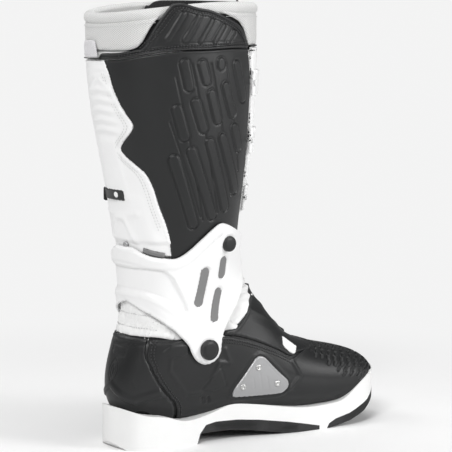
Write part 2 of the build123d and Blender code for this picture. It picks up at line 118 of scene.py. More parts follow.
def skin(t, a, offset):
    """Points of the body at section t and angle a (0 front, pi rear, negative on the inner side)."""
    t, a, offset = np.broadcast_arrays(np.asarray(t, float), np.asarray(a, float), np.asarray(offset, float))
    fx, fz, bx, bz, half, cy, taper, square, lean = np.moveaxis(row_at(t), -1, 0)
    dx, dz = (fx - bx) / 2, (fz - bz) / 2
    reach = np.hypot(dx, dz)
    c, s = np.cos(a), np.sin(a)
    radius = (np.abs(c) ** square + np.abs(s) ** square) ** (-1 / square)
    along = (reach + offset) * radius * c
    side = (half + offset) * radius * s
    side = side * (1 + taper * np.sign(c) * np.abs(radius * c) ** (square / 2))
    return np.stack([(fx + bx) / 2 + offset * lean + dx / reach * along, cy + side,
                     (fz + bz) / 2 + dz / reach * along], -1)


def skin_normal(t, a):
    """Unit normal of the body, pointing away from it."""
    small = 1e-3
    along = skin(np.asarray(t) + small, a, 0) - skin(np.asarray(t) - small, a, 0)
    across = skin(t, np.asarray(a) + small, 0) - skin(t, np.asarray(a) - small, 0)
    n = np.cross(along, across)
    n = n / np.maximum(np.linalg.norm(n, axis=-1, keepdims=True), 1e-12)
    outward = skin(t, a, 1) - skin(t, a, 0)
    flip = np.sign(np.sum(n * outward, -1, keepdims=True))
    return n * np.where(flip == 0, 1, flip)


SCAN = np.linspace(0, len(SECTIONS) - 1, 1901)
SCAN_ROWS = row_at(SCAN)
MIDDLES = (SCAN_ROWS[:, 0:2] + SCAN_ROWS[:, 2:4]) / 2
RUN = np.concatenate([[0], np.cumsum(np.linalg.norm(np.diff(MIDDLES, axis=0), axis=1))])


def locate(x, z, side, offset):
    """Section number and angle of the point at (x, z) on one side of the body grown by offset."""
    half = (SCAN_ROWS[:, 0:2] - SCAN_ROWS[:, 2:4]) / 2
    reach = np.linalg.norm(half, axis=1)
    away = np.array([x, z]) - MIDDLES - np.stack([offset * SCAN_ROWS[:, 8], 0 * reach], 1)
    gap = away[:, 0] * half[:, 1] - away[:, 1] * half[:, 0]
    ratio = (away * half).sum(1) / (reach * (reach + offset))
    cost = np.abs(gap) / reach + 40 * np.maximum(0, np.abs(ratio) - 1)
    best = int(np.argmin(cost))
    t, q, square = SCAN[best], float(np.clip(ratio[best], -1, 1)), SCAN_ROWS[best, 7]
    across = (1 - abs(q) ** square) ** (1 / square)
    return t, side * math.atan2(across, q)


def flat(points, rear, offset):
    """Outline given as (x, z, side) or ('at', t, angle), as even millimetres on the unrolled body."""
    out = []
    for p in points:
        if p[0] == "at":
            t, a = p[1], p[2]
        else:
            t, a = locate(*p, offset)
            a = a % (TURN) if rear else a
        out.append((np.interp(t, SCAN, RUN), a * A_SCALE))
    return np.array(out)


def unflat(points):
    """Section numbers and angles of unrolled points."""
    return np.interp(points[:, 0], RUN, SCAN), points[:, 1] / A_SCALE


def height_at(z, a, offset):
    """Section number where the grown body passes height z at angle a, on the leg."""
    scan = SCAN[LEG_SCAN:]
    return float(np.interp(z, skin(scan, a, offset)[:, 2], scan))


def arc(z, start, stop, offset, count):
    """Points on the body between two angles, at a height or at a height(angle)."""
    angles = np.linspace(start, stop, count)
    return [("at", height_at(z(a) if callable(z) else z, a, offset), a) for a in angles]


def level(z, start, end, offset, rear, count=9):
    """Points at one height, between two (x, side) places or angles."""
    ends = []
    for e in (start, end):
        a = locate(e[0], z, e[1], offset)[1] if isinstance(e, tuple) else e
        ends.append(a % TURN if rear and isinstance(e, tuple) else a)
    return arc(z, *ends, offset, count)


def cornered(*sides):
    """One outline from several sides, with a corner at both ends of each."""
    return [p for side in sides for p in side[:1] + side + side[-1:]]


def inner(points):
    """(x, z) points on the inner side of the boot."""
    return [(x, z, INNER) for x, z in points]


def outer(points):
    """(x, z) points on the outer side of the boot."""
    return [(x, z, OUTER) for x, z in points]


def rounded(points, closed=True, per=10):
    """Catmull-Rom curve through the points. A point given twice is a corner."""
    p = np.asarray(points, float)
    n = len(p)
    out = []
    for i in range(n if closed else n - 1):
        idx = [i - 1, i, i + 1, i + 2]
        q = [p[j % n] if closed else p[min(max(j, 0), n - 1)] for j in idx]
        if np.allclose(q[1], q[2]):
            continue
        if np.allclose(q[0], q[1]):
            q[0] = 2 * q[1] - q[2]
        if np.allclose(q[2], q[3]):
            q[3] = 2 * q[2] - q[1]
        f = np.linspace(0, 1, per, endpoint=False)[:, None]
        out.append(0.5 * (2 * q[1] + (q[2] - q[0]) * f + (2 * q[0] - 5 * q[1] + 4 * q[2] - q[3]) * f ** 2
                          + (3 * q[1] - q[0] - 3 * q[2] + q[3]) * f ** 3))
    out = np.concatenate(out)
    return out if closed else np.vstack([out, p[-1]])


def even(line, gap, closed=True):
    """The same line with points an equal gap apart."""
    p = np.vstack([line, line[:1]]) if closed else np.asarray(line)
    run = np.concatenate([[0], np.cumsum(np.linalg.norm(np.diff(p, axis=0), axis=1))])
    count = max(8 if closed else 2, int(round(run[-1] / gap)))
    want = np.linspace(0, run[-1], count + (0 if closed else 1), endpoint=not closed)
    return np.stack([np.interp(want, run, p[:, k]) for k in range(p.shape[1])], 1)


def inside(points, loop):
    """Even-odd test of many points against a closed loop."""
    x, y = points[:, 0], points[:, 1]
    hit = np.zeros(len(points), bool)
    ax, ay = loop[:, 0], loop[:, 1]
    bx, by = np.roll(ax, -1), np.roll(ay, -1)
    for i in range(len(loop)):
        crosses = (ay[i] > y) != (by[i] > y)
        if not crosses.any():
            continue
        at = ax[i] + (y - ay[i]) / (by[i] - ay[i] + 1e-12) * (bx[i] - ax[i])
        hit ^= crosses & (x < at)
    return hit


def new_mesh(name, verts, faces, look, body, unrolled=None):
    """A piece from millimetre vertices, riding on a body. Unrolled millimetres place a weave on it."""
    mesh = bpy.data.meshes.new(name)
    mesh.from_pydata([tuple(v) for v in np.asarray(verts) * MM], [], faces)
    if unrolled is not None:
        corners = np.zeros(len(mesh.loops), int)
        mesh.loops.foreach_get("vertex_index", corners)
        layer = mesh.uv_layers.new(name="unrolled")
        layer.data.foreach_set("uv", (np.asarray(unrolled)[corners] * MM).ravel())
    mesh.validate()
    mesh.polygons.foreach_set("use_smooth", [True] * len(mesh.polygons))
    obj = bpy.data.objects.new(name, mesh)
    bpy.context.scene.collection.objects.link(obj)
    mesh.materials.append(look)
    if body:
        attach(obj, body)
    return obj


def loop_faces(rings, around, start=0):
    """Quads between neighbouring rings of vertices."""
    faces = []
    for i in range(rings - 1):
        for k in range(around):
            m = (k + 1) % around
            low, high = start + i * around, start + (i + 1) * around
            faces.append((low + k, low + m, high + m, high + k))
    return faces


def capped_faces(rings, around):
    """Quads between rings of vertices, closed by a face at each end."""
    last = (rings - 1) * around
    return loop_faces(rings, around) + [tuple(reversed(range(around))), tuple(range(last, last + around))]


def distances(points, border):
    """Distance of each point from the nearest border point."""
    tree = kdtree.KDTree(len(border))
    for i, p in enumerate(border):
        tree.insert(p, i)
    tree.balance()
    return np.array([tree.find(p)[2] for p in points])


BORDER = {}         # piece name: its border vertices, and where its floor begins


def clear_of(points, loops):
    """True for points inside the first loop and outside the others."""
    keep = inside(points, loops[0])
    for hole in loops[1:]:
        keep &= ~inside(points, hole)
    return keep


def panel(name, outline, depths, look, body, holes=(), relief=None, edge=1.2, spacing=1.6, rear=True):
    """Closed shell over a patch of the body, with rounded edges and relief(points, gap to the edge, t, a)."""
    loop = even(rounded(flat(outline, rear, depths[1])), spacing)
    loops = [loop] + [even(rounded(flat(h, rear, depths[1])), spacing * 0.5) for h in holes]
    low, high = loop.min(0), loop.max(0)
    u = np.arange(low[0], high[0], spacing)
    v = np.arange(low[1], high[1], spacing * 1.1)
    grid = np.stack(np.meshgrid(u, v, indexing="ij"), -1)
    grid[1::2, :, 1] += spacing * 0.55
    grid = grid.reshape(-1, 2)
    grid = grid[clear_of(grid, loops)]
    border_flat = np.vstack(loops)
    flat_gap = distances(np.c_[grid, np.zeros(len(grid))], np.c_[border_flat, np.zeros(len(border_flat))])
    points = np.vstack([border_flat, grid[flat_gap > spacing * 0.55]])
    edges = []
    start = 0
    for item in loops:
        edges += [(start + i, start + (i + 1) % len(item)) for i in range(len(item))]
        start += len(item)
    result = delaunay_2d_cdt([Vector(p) for p in points], edges, [], 0, 1e-6)
    flat_points = np.array([tuple(p) for p in result[0]])
    faces = np.array([f for f in result[2] if len(f) == 3])
    faces = faces[clear_of(flat_points[faces].mean(1), loops)]
    t, a = unflat(flat_points)
    base = skin(t, a, depths[1])
    border = skin(*unflat(np.vstack([even(item, 0.5) for item in loops])), depths[1])
    gap = distances(base, border)
    share = 1 - (1 - np.clip(gap / edge, 0, 1)) ** 2
    height = (depths[1] - depths[0]) * (0.12 + 0.88 * np.sqrt(np.clip(share, 0, 1)))
    if relief is not None:
        height = height + relief(base, gap, t, a) * np.clip(gap / edge, 0, 1)
    normal = skin_normal(t, a)
    floor = skin(t, a, depths[0])
    top = skin(t, a, depths[0] + height)
    cross = np.cross(top[faces[:, 1]] - top[faces[:, 0]], top[faces[:, 2]] - top[faces[:, 0]])
    flip = np.sum(cross * normal[faces[:, 0]], 1) < 0
    faces[flip] = faces[flip][:, ::-1]
    count = len(flat_points)
    directed = set()
    for f in faces.tolist():
        directed.update(((f[0], f[1]), (f[1], f[2]), (f[2], f[0])))
    walls = [(q, p, p + count, q + count) for p, q in sorted(directed) if (q, p) not in directed]
    all_faces = faces.tolist() + (faces[:, ::-1] + count).tolist() + walls
    BORDER[name] = (sorted({p for wall in walls for p in wall[:2]}), count)
    return new_mesh(name, np.vstack([top, floor]), all_faces, look, body, np.vstack([flat_points] * 2))


def crossing(z, a, offset):
    """Last section number at which the grown body is still below height z, at angle a."""
    return SCAN[np.nonzero(skin(SCAN, a, offset)[:, 2] < z)[0][-1]]


def sleeve(name, low, high, depths, look, body, around=120, rings=56, relief=None):
    """Closed shell round the body, from section low(a) to high(a). relief(t, a) thickens its inside."""
    a = np.linspace(0, TURN, around, endpoint=False)
    start = np.array([low(v) for v in a])
    stop = np.array([high(v) for v in a])
    share = np.linspace(0, 1, rings)[:, None]
    t = start + (stop - start) * share
    a = np.broadcast_to(a, t.shape)
    fold = 0.5 * (depths[1] - depths[0]) * np.clip(1 - np.minimum(share, 1 - share) * 40, 0, 1) ** 2
    inside_depth = depths[0] + fold - (relief(t, a) if relief else 0)
    verts = np.concatenate([skin(t, a, depths[1] - fold), skin(t, a, inside_depth)]).reshape(-1, 3)
    total = rings * around
    last = total - around
    faces = loop_faces(rings, around) + [quad[::-1] for quad in loop_faces(rings, around, total)]
    for k in range(around):
        m = (k + 1) % around
        faces.append((m, k, total + k, total + m))
        faces.append((last + k, last + m, total + last + m, total + last + k))
    return new_mesh(name, verts, faces, look, body)


def step(value, soft):
    """1 well inside (value < 0), 0 outside, with a soft slope."""
    x = np.clip(0.5 - value / (2 * soft), 0, 1)
    return x * x * (3 - 2 * x)


# ---- materials -----------------------------------------------------------------------------------


def material(name, color, rough, grain=900, bump=0.15, blotch=0.06, edge_wear_and_highlight=0.0, metal=0.0, sheen=0.0,
             weave=0.0, unrolled=False, pores=0.0, hollow_shade=0.0, shine=0.35):
    """Procedural finish. grain and weave are cells per metre. One amount lightens convex edges, as wear and
    painted highlight; another darkens hollows, as painted shade.
    """
    mat = bpy.data.materials.new(name)
    mat.use_nodes = True
    tree = mat.node_tree
    tree.nodes.clear()
    link = tree.links.new

    def node(kind, **values):
        made = tree.nodes.new(kind)
        for key, value in values.items():
            if key in made.inputs:
                made.inputs[key].default_value = value
            else:
                setattr(made, key, value)
        return made

    def ranged(value, **limits):
        """Value mapped from one range to another. The keys are from_min, from_max, to_min and to_max."""
        made = node("ShaderNodeMapRange")
        for key, limit in limits.items():
            made.inputs[key.replace("_", " ").title()].default_value = limit
        link(value, made.inputs["Value"])
        return made.outputs[0]

    def combined(operation, a, b, c=None):
        """One sum or product of sockets and numbers."""
        made = node("ShaderNodeMath", operation=operation)
        for socket, value in zip(made.inputs, (a, b, c)):
            if isinstance(value, float):
                socket.default_value = value
            elif value is not None:
                link(value, socket)
        return made.outputs[0]

    def mix(share, a, b):
        """Colour a where the share is 0 and colour b where it is 1."""
        made = node("ShaderNodeMix", data_type="RGBA")
        for socket, value in zip((made.inputs[0], made.inputs[6], made.inputs[7]), (share, a, b)):
            if isinstance(value, tuple):
                socket.default_value = (*value, 1)
            else:
                link(value, socket)
        return made.outputs[2]

    coordinates = node("ShaderNodeTexCoord")
    place = coordinates.outputs["Object"]
    fine = node("ShaderNodeTexNoise", Scale=grain, Detail=3.0, Roughness=0.6)
    broad = node("ShaderNodeTexNoise", Scale=28.0, Detail=4.0, Roughness=0.55)
    link(place, fine.inputs["Vector"])
    link(place, broad.inputs["Vector"])
    shade = node("ShaderNodeHueSaturation", Color=(*color, 1))
    link(ranged(broad.outputs["Fac"], to_min=1 - blotch, to_max=1 + blotch * 0.5), shade.inputs["Value"])
    colour = shade.outputs[0]
    height = fine.outputs["Fac"]
    if weave:
        cells = node("ShaderNodeTexVoronoi", Scale=weave, Randomness=0.2, feature="DISTANCE_TO_EDGE")
        if unrolled:
            turned = node("ShaderNodeMapping", Rotation=(0, 0, math.radians(45)))
            link(coordinates.outputs["UV"], turned.inputs["Vector"])
            link(turned.outputs[0], cells.inputs["Vector"])
        else:
            link(place, cells.inputs["Vector"])
        thread = ranged(cells.outputs["Distance"], from_max=0.22, to_min=1.0, to_max=0.0)
        colour = mix(thread, tuple(c * 0.66 for c in color), colour)
        height = combined("MULTIPLY_ADD", thread, 1.6, height)
    if pores:
        cells = node("ShaderNodeTexVoronoi", Scale=pores, Randomness=0.9)
        link(place, cells.inputs["Vector"])
        height = combined("MULTIPLY_ADD", cells.outputs["Distance"], 0.9, height)
    if edge_wear_and_highlight or hollow_shade:
        point = node("ShaderNodeNewGeometry").outputs["Pointiness"]
    # Painted highlight and wear: the colour lightens on convex edges.
    if edge_wear_and_highlight:
        edge_wear_and_highlight_colour = tuple(min(1, c * 1.5 + 0.06) for c in color)
        colour = mix(ranged(point, from_min=0.52, from_max=0.60, to_max=edge_wear_and_highlight), colour, edge_wear_and_highlight_colour)
    # Painted shade: the colour darkens in hollows, where shade falls.
    if hollow_shade:
        hollow_shade_colour = tuple(c * 0.45 for c in color)
        colour = mix(ranged(point, from_min=0.49, from_max=0.42, to_max=hollow_shade), colour, hollow_shade_colour)
    bumps = node("ShaderNodeBump", Strength=bump, Distance=0.0006)
    link(height, bumps.inputs["Height"])
    noise = combined("MULTIPLY", combined("ADD", fine.outputs["Fac"], broad.outputs["Fac"]), 0.5)
    shader = node("ShaderNodeBsdfPrincipled", Metallic=metal)
    shader.inputs["Sheen Weight"].default_value = sheen
    shader.inputs["Specular IOR Level"].default_value = shine
    link(colour, shader.inputs["Base Color"])
    link(ranged(noise, to_min=rough - 0.08, to_max=rough + 0.1), shader.inputs["Roughness"])
    link(bumps.outputs[0], shader.inputs["Normal"])
    link(shader.outputs[0], node("ShaderNodeOutputMaterial").inputs[0])
    return mat


BLACK = (0.009, 0.0095, 0.010)
WHITE = (0.82, 0.82, 0.815)
# Hollow amounts below paint shade into the colour of hollows.
WHITE_PLASTIC = material("white_plastic", (0.84, 0.84, 0.84), 0.36, grain=1500, bump=0.05, blotch=0.03,
                         hollow_shade=0.5)
WHITE_LEATHER = material("white_leather", WHITE, 0.5, pores=1100, bump=0.22, blotch=0.05, hollow_shade=0.5)
WHITE_SOLE = material("white_sole", WHITE, 0.5, grain=700, bump=0.12, blotch=0.07, hollow_shade=0.6)
MESH = material("mesh_fabric", (0.88, 0.88, 0.87), 0.85, grain=2500, bump=0.6, weave=700, unrolled=True,
                sheen=0.3)
WHITE_WEB = material("white_webbing", (0.80, 0.79, 0.81), 0.7, grain=1800, bump=0.3, weave=900,
                     unrolled=True, sheen=0.2)
# Edge amounts below paint wear and highlight into the colour of convex edges.
BLACK_RUBBER = material("black_rubber", BLACK, 0.42, grain=1600, bump=0.14, blotch=0.25,
                        edge_wear_and_highlight=0.3, hollow_shade=0.8, shine=0.42)
BLACK_SUEDE = material("black_microfibre", BLACK, 0.42, grain=2200, bump=0.18, blotch=0.3,
                       edge_wear_and_highlight=0.3, hollow_shade=0.8, shine=0.42)
BLACK_LEATHER = material("black_leather", BLACK, 0.40, pores=1300, bump=0.18, blotch=0.2,
                         edge_wear_and_highlight=0.25, hollow_shade=0.8, shine=0.42)
BLACK_SOLE = material("black_sole", (0.010, 0.010, 0.0105), 0.6, grain=1200, bump=0.2, blotch=0.3, edge_wear_and_highlight=0.3,
                      shine=0.3)
BLACK_PLASTIC = material("black_plastic", (0.009, 0.009, 0.0095), 0.36, grain=1300, bump=0.06, blotch=0.1,
                         edge_wear_and_highlight=0.25, shine=0.35)
GREY_PLASTIC = material("grey_plastic", (0.20, 0.20, 0.20), 0.6, grain=1800, bump=0.18, blotch=0.12, edge_wear_and_highlight=0.2)
GREY_METAL = material("grey_metal", (0.36, 0.36, 0.365), 0.42, grain=1500, bump=0.08, metal=0.55, edge_wear_and_highlight=0.3)
STEEL = material("steel", (0.62, 0.62, 0.61), 0.28, grain=2200, bump=0.08, metal=1.0)
THREAD_WHITE = material("thread_white", (0.60, 0.60, 0.60), 0.7, grain=4000, bump=0.4)
# Black thread, its colour lifted above the black of the leather as painted highlight, so the stitches show as
# lighter dots.
THREAD_BLACK = material("thread_black", (0.035, 0.035, 0.036), 0.35, grain=4000, bump=0.4)
LINER = material("liner_fabric", (0.014, 0.014, 0.015), 0.9, grain=2600, bump=0.5, weave=1400, sheen=0.3)
BOARD = material("fibre_board", (0.30, 0.27, 0.22), 0.8, grain=900, bump=0.3, blotch=0.2)


# ---- detail helpers ------------------------------------------------------------------------------

def tube(name, line, radius, look, body, sides=8):
    """Round cord along a line of points."""
    p = np.asarray(line, float)
    ahead = np.gradient(p, axis=0)
    ahead = ahead / np.maximum(np.linalg.norm(ahead, axis=1, keepdims=True), 1e-9)
    side = np.cross(ahead, np.tile([0.31, 0.17, 0.94], (len(p), 1)))
    side = side / np.linalg.norm(side, axis=1, keepdims=True)
    up = np.cross(side, ahead)
    turns = [TURN * i / sides for i in range(sides)]
    verts = np.stack([p + radius * (math.cos(turn) * side + math.sin(turn) * up) for turn in turns], 1)
    return new_mesh(name, verts.reshape(-1, 3), capped_faces(len(p), sides), look, body)


def path(points, offset, rear=True, gap=0.5):
    """Points on the body along an outline-style path, an even gap apart, with their normals."""
    line = even(rounded(flat(points, rear, offset), closed=False), 0.4, closed=False)
    t, a = unflat(line)
    solid = skin(t, a, offset)
    run = np.concatenate([[0], np.cumsum(np.linalg.norm(np.diff(solid, axis=0), axis=1))])
    want = np.arange(0, run[-1], gap)
    t, a = np.interp(want, run, t), np.interp(want, run, a)
    return skin(t, a, offset), skin_normal(t, a)


def lathe(name, profile, origin, axis, look, body, around=48):
    """Turned piece from (radius, height) points along an axis."""
    z = Vector(axis).normalized()
    x = Vector((1, 0, 0.2))
    x = (x - x.dot(z) * z).normalized()
    place = Matrix((x, z.cross(x), z)).transposed().to_4x4()
    place.translation = Vector(origin)
    verts, faces, rings = [], [], []
    for radius, height in profile:
        count = around if radius else 1
        rings.append(range(len(verts), len(verts) + count))
        for k in range(count):
            turn = TURN * k / around
            verts.append(tuple(place @ Vector((radius * math.cos(turn), radius * math.sin(turn), height))))
    for lower, upper in zip(rings, rings[1:]):
        for k in range(around):
            j = (k + 1) % around
            if len(lower) == 1:
                faces.append((lower[0], upper[k], upper[j]))
            elif len(upper) == 1:
                faces.append((lower[k], upper[0], lower[j]))
            else:
                faces.append((lower[k], upper[k], upper[j], lower[j]))
    return new_mesh(name, verts, faces, look, body)


# Unit ball of a stitch: its poles, three rings of six points, and its faces.
BALL = [(0.0, 0.0, 1.0)] + [
    (math.sin(lat) * math.cos(lon), math.sin(lat) * math.sin(lon), math.cos(lat))
    for lat in (math.pi / 4, math.pi / 2, 3 * math.pi / 4) for lon in [k * math.pi / 3 for k in range(6)]
] + [(0.0, 0.0, -1.0)]
BALL_FACES = ([(0, 1 + k, 1 + (k + 1) % 6) for k in range(6)]
              + [(1 + r * 6 + k, 7 + r * 6 + k, 7 + r * 6 + (k + 1) % 6, 1 + r * 6 + (k + 1) % 6)
                 for r in (0, 1) for k in range(6)]
              + [(13 + (k + 1) % 6, 13 + k, 19) for k in range(6)])


def stitches(name, lines, offset, look, body, pitch=3.0, length=2.1, radius=0.36, rear=True):
    """One piece of small pillows along several paths."""
    parts = [path(line, offset, rear, gap=pitch) for line in lines]
    centres = np.vstack([points for points, _ in parts])
    along = np.vstack([np.gradient(points, axis=0) for points, _ in parts])
    out = np.vstack([normal for _, normal in parts])
    along = along / np.linalg.norm(along, axis=1, keepdims=True)
    cross = np.cross(out, along)
    shape = np.array(BALL)
    verts = (centres[:, None] + shape[None, :, 2:3] * along[:, None] * (length / 2)
             + shape[None, :, 0:1] * cross[:, None] * radius
             + shape[None, :, 1:2] * out[:, None] * (radius * 0.8))
    faces = [tuple(i + n * len(shape) for i in f) for n in range(len(centres)) for f in BALL_FACES]
    return new_mesh(name, verts.reshape(-1, 3), faces, look, body)


def dress(node_name, look, bevel=0.0):
    """A CAD node that stays in view gets a finish and softened edges."""
    obj = nodes[node_name]
    obj.data.materials.clear()
    obj.data.materials.append(look)
    if bevel:
        mod = obj.modifiers.new("soft_edges", "BEVEL")
        mod.width = bevel * MM
        mod.segments = 2
        mod.limit_method = "ANGLE"
        mod.angle_limit = math.radians(35)
        obj.data.polygons.foreach_set("use_smooth", [True] * len(obj.data.polygons))
        obj.modifiers.new("clean_normals", "WEIGHTED_NORMAL").keep_sharp = True


def near(points, line):
    """Distance from a line of (x, z) or (x, y, z) points."""
    p = points[:, [0, 2]] if len(line[0]) == 2 else points
    line = np.array(line, float)
    best = np.full(len(p), 1e9)
    for a, b in zip(line, line[1:]):
        run = b - a
        f = np.clip((p - a) @ run / (run @ run), 0, 1)
        best = np.minimum(best, np.linalg.norm(p - a - f[:, None] * run, axis=1))
    return best


def inset(points, outline, soft):
    """Smooth 0 to 1 from the border of an XZ outline to its inside."""
    gap = near(points, list(outline) + [outline[0]])
    within = inside(points[:, [0, 2]], np.array(outline, float)).astype(float)
    return within * (1 - step(gap - soft / 2, soft / 2))


def groove(gap, width):
    """1 along the line where the gap is 0, falling off over the width."""
    return np.exp(-(gap / width) ** 2)


CLOTH_STEPS = 20


def puff(obj, pressure, cap, grow=0.0, pins=()):
    """Swell a padded shell by cloth pressure with its border and floor held, then soften it."""
    border, count = BORDER[obj.name]
    rest = np.array([v.co for v in obj.data.vertices])
    group = obj.vertex_groups.new(name="held")
    group.add(border + list(range(count, len(rest))) + list(pins), 1.0, "REPLACE")
    cloth = obj.modifiers.new("cloth", "CLOTH")
    cloth.settings.vertex_group_mass = "held"
    cloth.settings.use_pressure = True
    cloth.settings.uniform_pressure_force = pressure
    cloth.settings.effector_weights.gravity = 0
    cloth.settings.shrink_min = -grow
    cloth.settings.tension_stiffness = 15
    cloth.settings.bending_stiffness = 0.4
    cloth.collision_settings.use_collision = False
    scene = bpy.context.scene
    for number in range(1, CLOTH_STEPS + 1):
        scene.frame_set(number)
    shape = obj.evaluated_get(bpy.context.evaluated_depsgraph_get()).to_mesh()
    moved = np.array([v.co for v in shape.vertices])
    obj.modifiers.remove(cloth)
    scene.frame_set(1)
    push = moved - rest
    length = np.maximum(np.linalg.norm(push, axis=1, keepdims=True), 1e-9)
    push *= np.minimum(length, cap * MM) / length
    obj.data.vertices.foreach_set("co", (rest + push).ravel())
    obj.data.update()
    mod = obj.modifiers.new("soft", "SUBSURF")
    mod.levels = mod.render_levels = 1
    return obj


# ---- leg: black grip panel, flap, white calf plate -----------------------------------------------

CALF_EDGE = [(-52, 375), (-50, 362), (-48, 350), (-44, 335), (-40, 325), (-36, 317), (-35, 312), (-36, 306),
             (-38, 298), (-38, 291), (-35, 284), (-30, 277), (-23, 268), (-17, 255), (-11, 236), (-4, 217),
             (3, 193)]
FLAP_SEAM = [(-52, 375.5), (-44, 377), (-26, 381), (-1, 384.5), (30, 385), (58, 386), (81, 387)]
PILLS = [((-2, 282), (20, 220)), ((-2, 329), (6, 304)), ((4, 372), (9, 351)), ((16, 335), (25, 311)),
         ((14, 289), (40, 227)), ((22, 371), (27, 356)), ((33, 343), (41, 319)), ((33, 297), (56, 234)),
         ((44, 373), (44, 370)), ((50, 350), (60, 325)), ((48, 301), (69, 251)), ((65, 370), (76, 339)),
         ((64, 310), (71, 292))]
LONG_GROOVES = [((-4, 360), (30, 223)), ((-8, 318), (27, 226)), ((11, 372), (47, 229)),
                ((32, 372), (64, 244)), ((51, 373), (73, 268))]
PILL_R = 4.3


def rim_relief(depth, gap_to_rim=1.2, width=0.9):
    """Relief of a plain piece: a raised line along its edge."""
    return lambda points, gap, t, a: depth * groove(gap - gap_to_rim, width)


def grip_relief(points, gap, t, a):
    """Raised pills, with grooves between them."""
    rise = 0.35 * groove(gap - 1.0, 0.9)
    cut = np.zeros(len(points))
    for line in LONG_GROOVES:
        cut = np.maximum(cut, step(near(points, line) - 0.6, 0.45))
    for pill in PILLS:
        away = near(points, pill) - PILL_R
        rise = rise + 1.1 * step(away, 0.45) - 1.2 * groove(away - 1.1, 0.6)
        cut = cut * (1 - step(away - 1.5, 0.4))
    return np.clip(rise - 1.4 * cut, -1.7, 1.6)


def leg_panels():
    """Black grip panel of the inner side, and the flap above it."""
    left = [(x + 0.8, z) for x, z in CALF_EDGE[:-1]]
    right = [(85, 222), (85.5, 255), (87.2, 298), (88.7, 333), (88.7, 354), (87, 368), (84, 385), (84, 385)]
    low = [(3, 184), (3, 184), (10, 185), (18, 190), (28, 199), (40, 209), (50, 214), (59, 213), (78, 208),
           (86, 205), (86, 205)]
    outline = inner(left[:1] + left + low + right + [(x, z - 0.8) for x, z in FLAP_SEAM[::-1][1:-1]])
    grip = panel("grip_panel_moulded", outline, (2.0, 4.2), BLACK_SUEDE, "shaft", relief=grip_relief,
                 edge=0.9, spacing=0.8)
    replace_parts(grip, "grip_panel")

    flap = inner([(-52, 381.5), (-52, 381.5), (-45, 382.8), (-37, 385.3), (-31, 388), (-23, 406),
                  (-10, 425.5),
                  (-4, 428.5), (3, 428.5), (17, 424.5), (33, 421.5), (53, 414.5), (67, 408.5), (75, 402.5),
                  (80, 394), (84, 385.6), (84, 385.6)] + FLAP_SEAM[::-1][1:-1] + FLAP_SEAM[:1] * 2)
    bars = [[(-12, 395), (2, 418)], [(4, 394), (18, 416)], [(20, 393), (33, 412)], [(36, 392.5), (47, 407)],
            [(52, 392), (60, 401)]]

    def flap_relief(points, gap, t, a):
        rise = 1.0 * groove(gap - 1.3, 0.9) - 0.7 * groove(gap - 3.4, 0.7) - 0.5 * groove(gap - 6.8, 0.5)
        for bar in bars:
            away = near(points, bar)
            rise = rise + 0.7 * step(away - 2.2, 0.5) - 0.6 * groove(away - 3.4, 0.6)
        return rise

    obj = panel("top_flap_embossed", flap, (2.0, 4.4), BLACK_SUEDE, "shaft", relief=flap_relief, edge=1.0,
                spacing=0.8)
    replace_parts(obj, "top_flap")
    crest = [(2, 424.5), (17, 420.5), (33, 417.5), (53, 410.5), (66, 405), (73, 399)]
    seam = [(-46, 379), (-26, 383.2), (-1, 386.6), (30, 387), (58, 388), (80, 388.8)]
    lines = []
    for k in (0, 2.4):
        tail = [(-33.5 + k, 387.5 - k * 0.3), (-20 + k, 405 - k), (-8 + k, 422 - k)]
        lines.append(inner(tail + [(x, z - k) for x, z in crest] + [(79, 389.5)]))
        lines.append(inner([(x, z + k) for x, z in seam]))
    stitches("flap_stitches", lines, 5.0, THREAD_BLACK, "shaft", pitch=3.0, length=2.2, radius=0.55)


RIDGE = [(-22, 24, 230), (-26, -7, 224), (-22, -15, 208), (-18, -22, 194)]
CHEVRON = [(-52, -3, 357), (-48, -16, 349), (-42, -24, 333), (-38, -28, 322)]
CREASE = [(-27, 243), (-22, 230), (-18, 217), (-12, 201), (-9, 190)]


def calf_relief(points, gap, t, a):
    """Steps across the rear, a spine, ridges to each side and a crease on the inner side."""
    y, z = points[:, 1], points[:, 2]
    near_rear = step(np.abs(y) - 20, 6)
    rise = 0.55 * groove(gap - 1.2, 0.9) - 0.2 * groove(gap - 3.0, 0.8)
    for height in (367.5, 361.5):
        rise = rise + 0.5 * near_rear * groove(z - height, 2.0)
    for height in (348, 338.5, 329, 319.5, 310):
        rise = rise + 1.1 * near_rear * groove(z - height + 0.10 * np.abs(y), 3.0)
    spine = step(np.abs(y) - 13 - 0.12 * np.abs(z - 300), 2.5)
    rise = rise + 0.8 * spine * step(z - 300, 4) * step(245 - z, 6)
    mirrored = points * np.array([1, -1, 1])
    for shape in (points, mirrored):
        rise = rise + 1.1 * groove(near(shape, RIDGE), 3.2) + 0.8 * groove(near(shape, CHEVRON), 2.6)
    rise = rise + 0.7 * step(near(points, CREASE) - 4.0, 3.5) * (y < 0)
    above_brace = step(201 - z, 3)
    return 1.5 * rise * above_brace - 1.9 * (1 - above_brace)


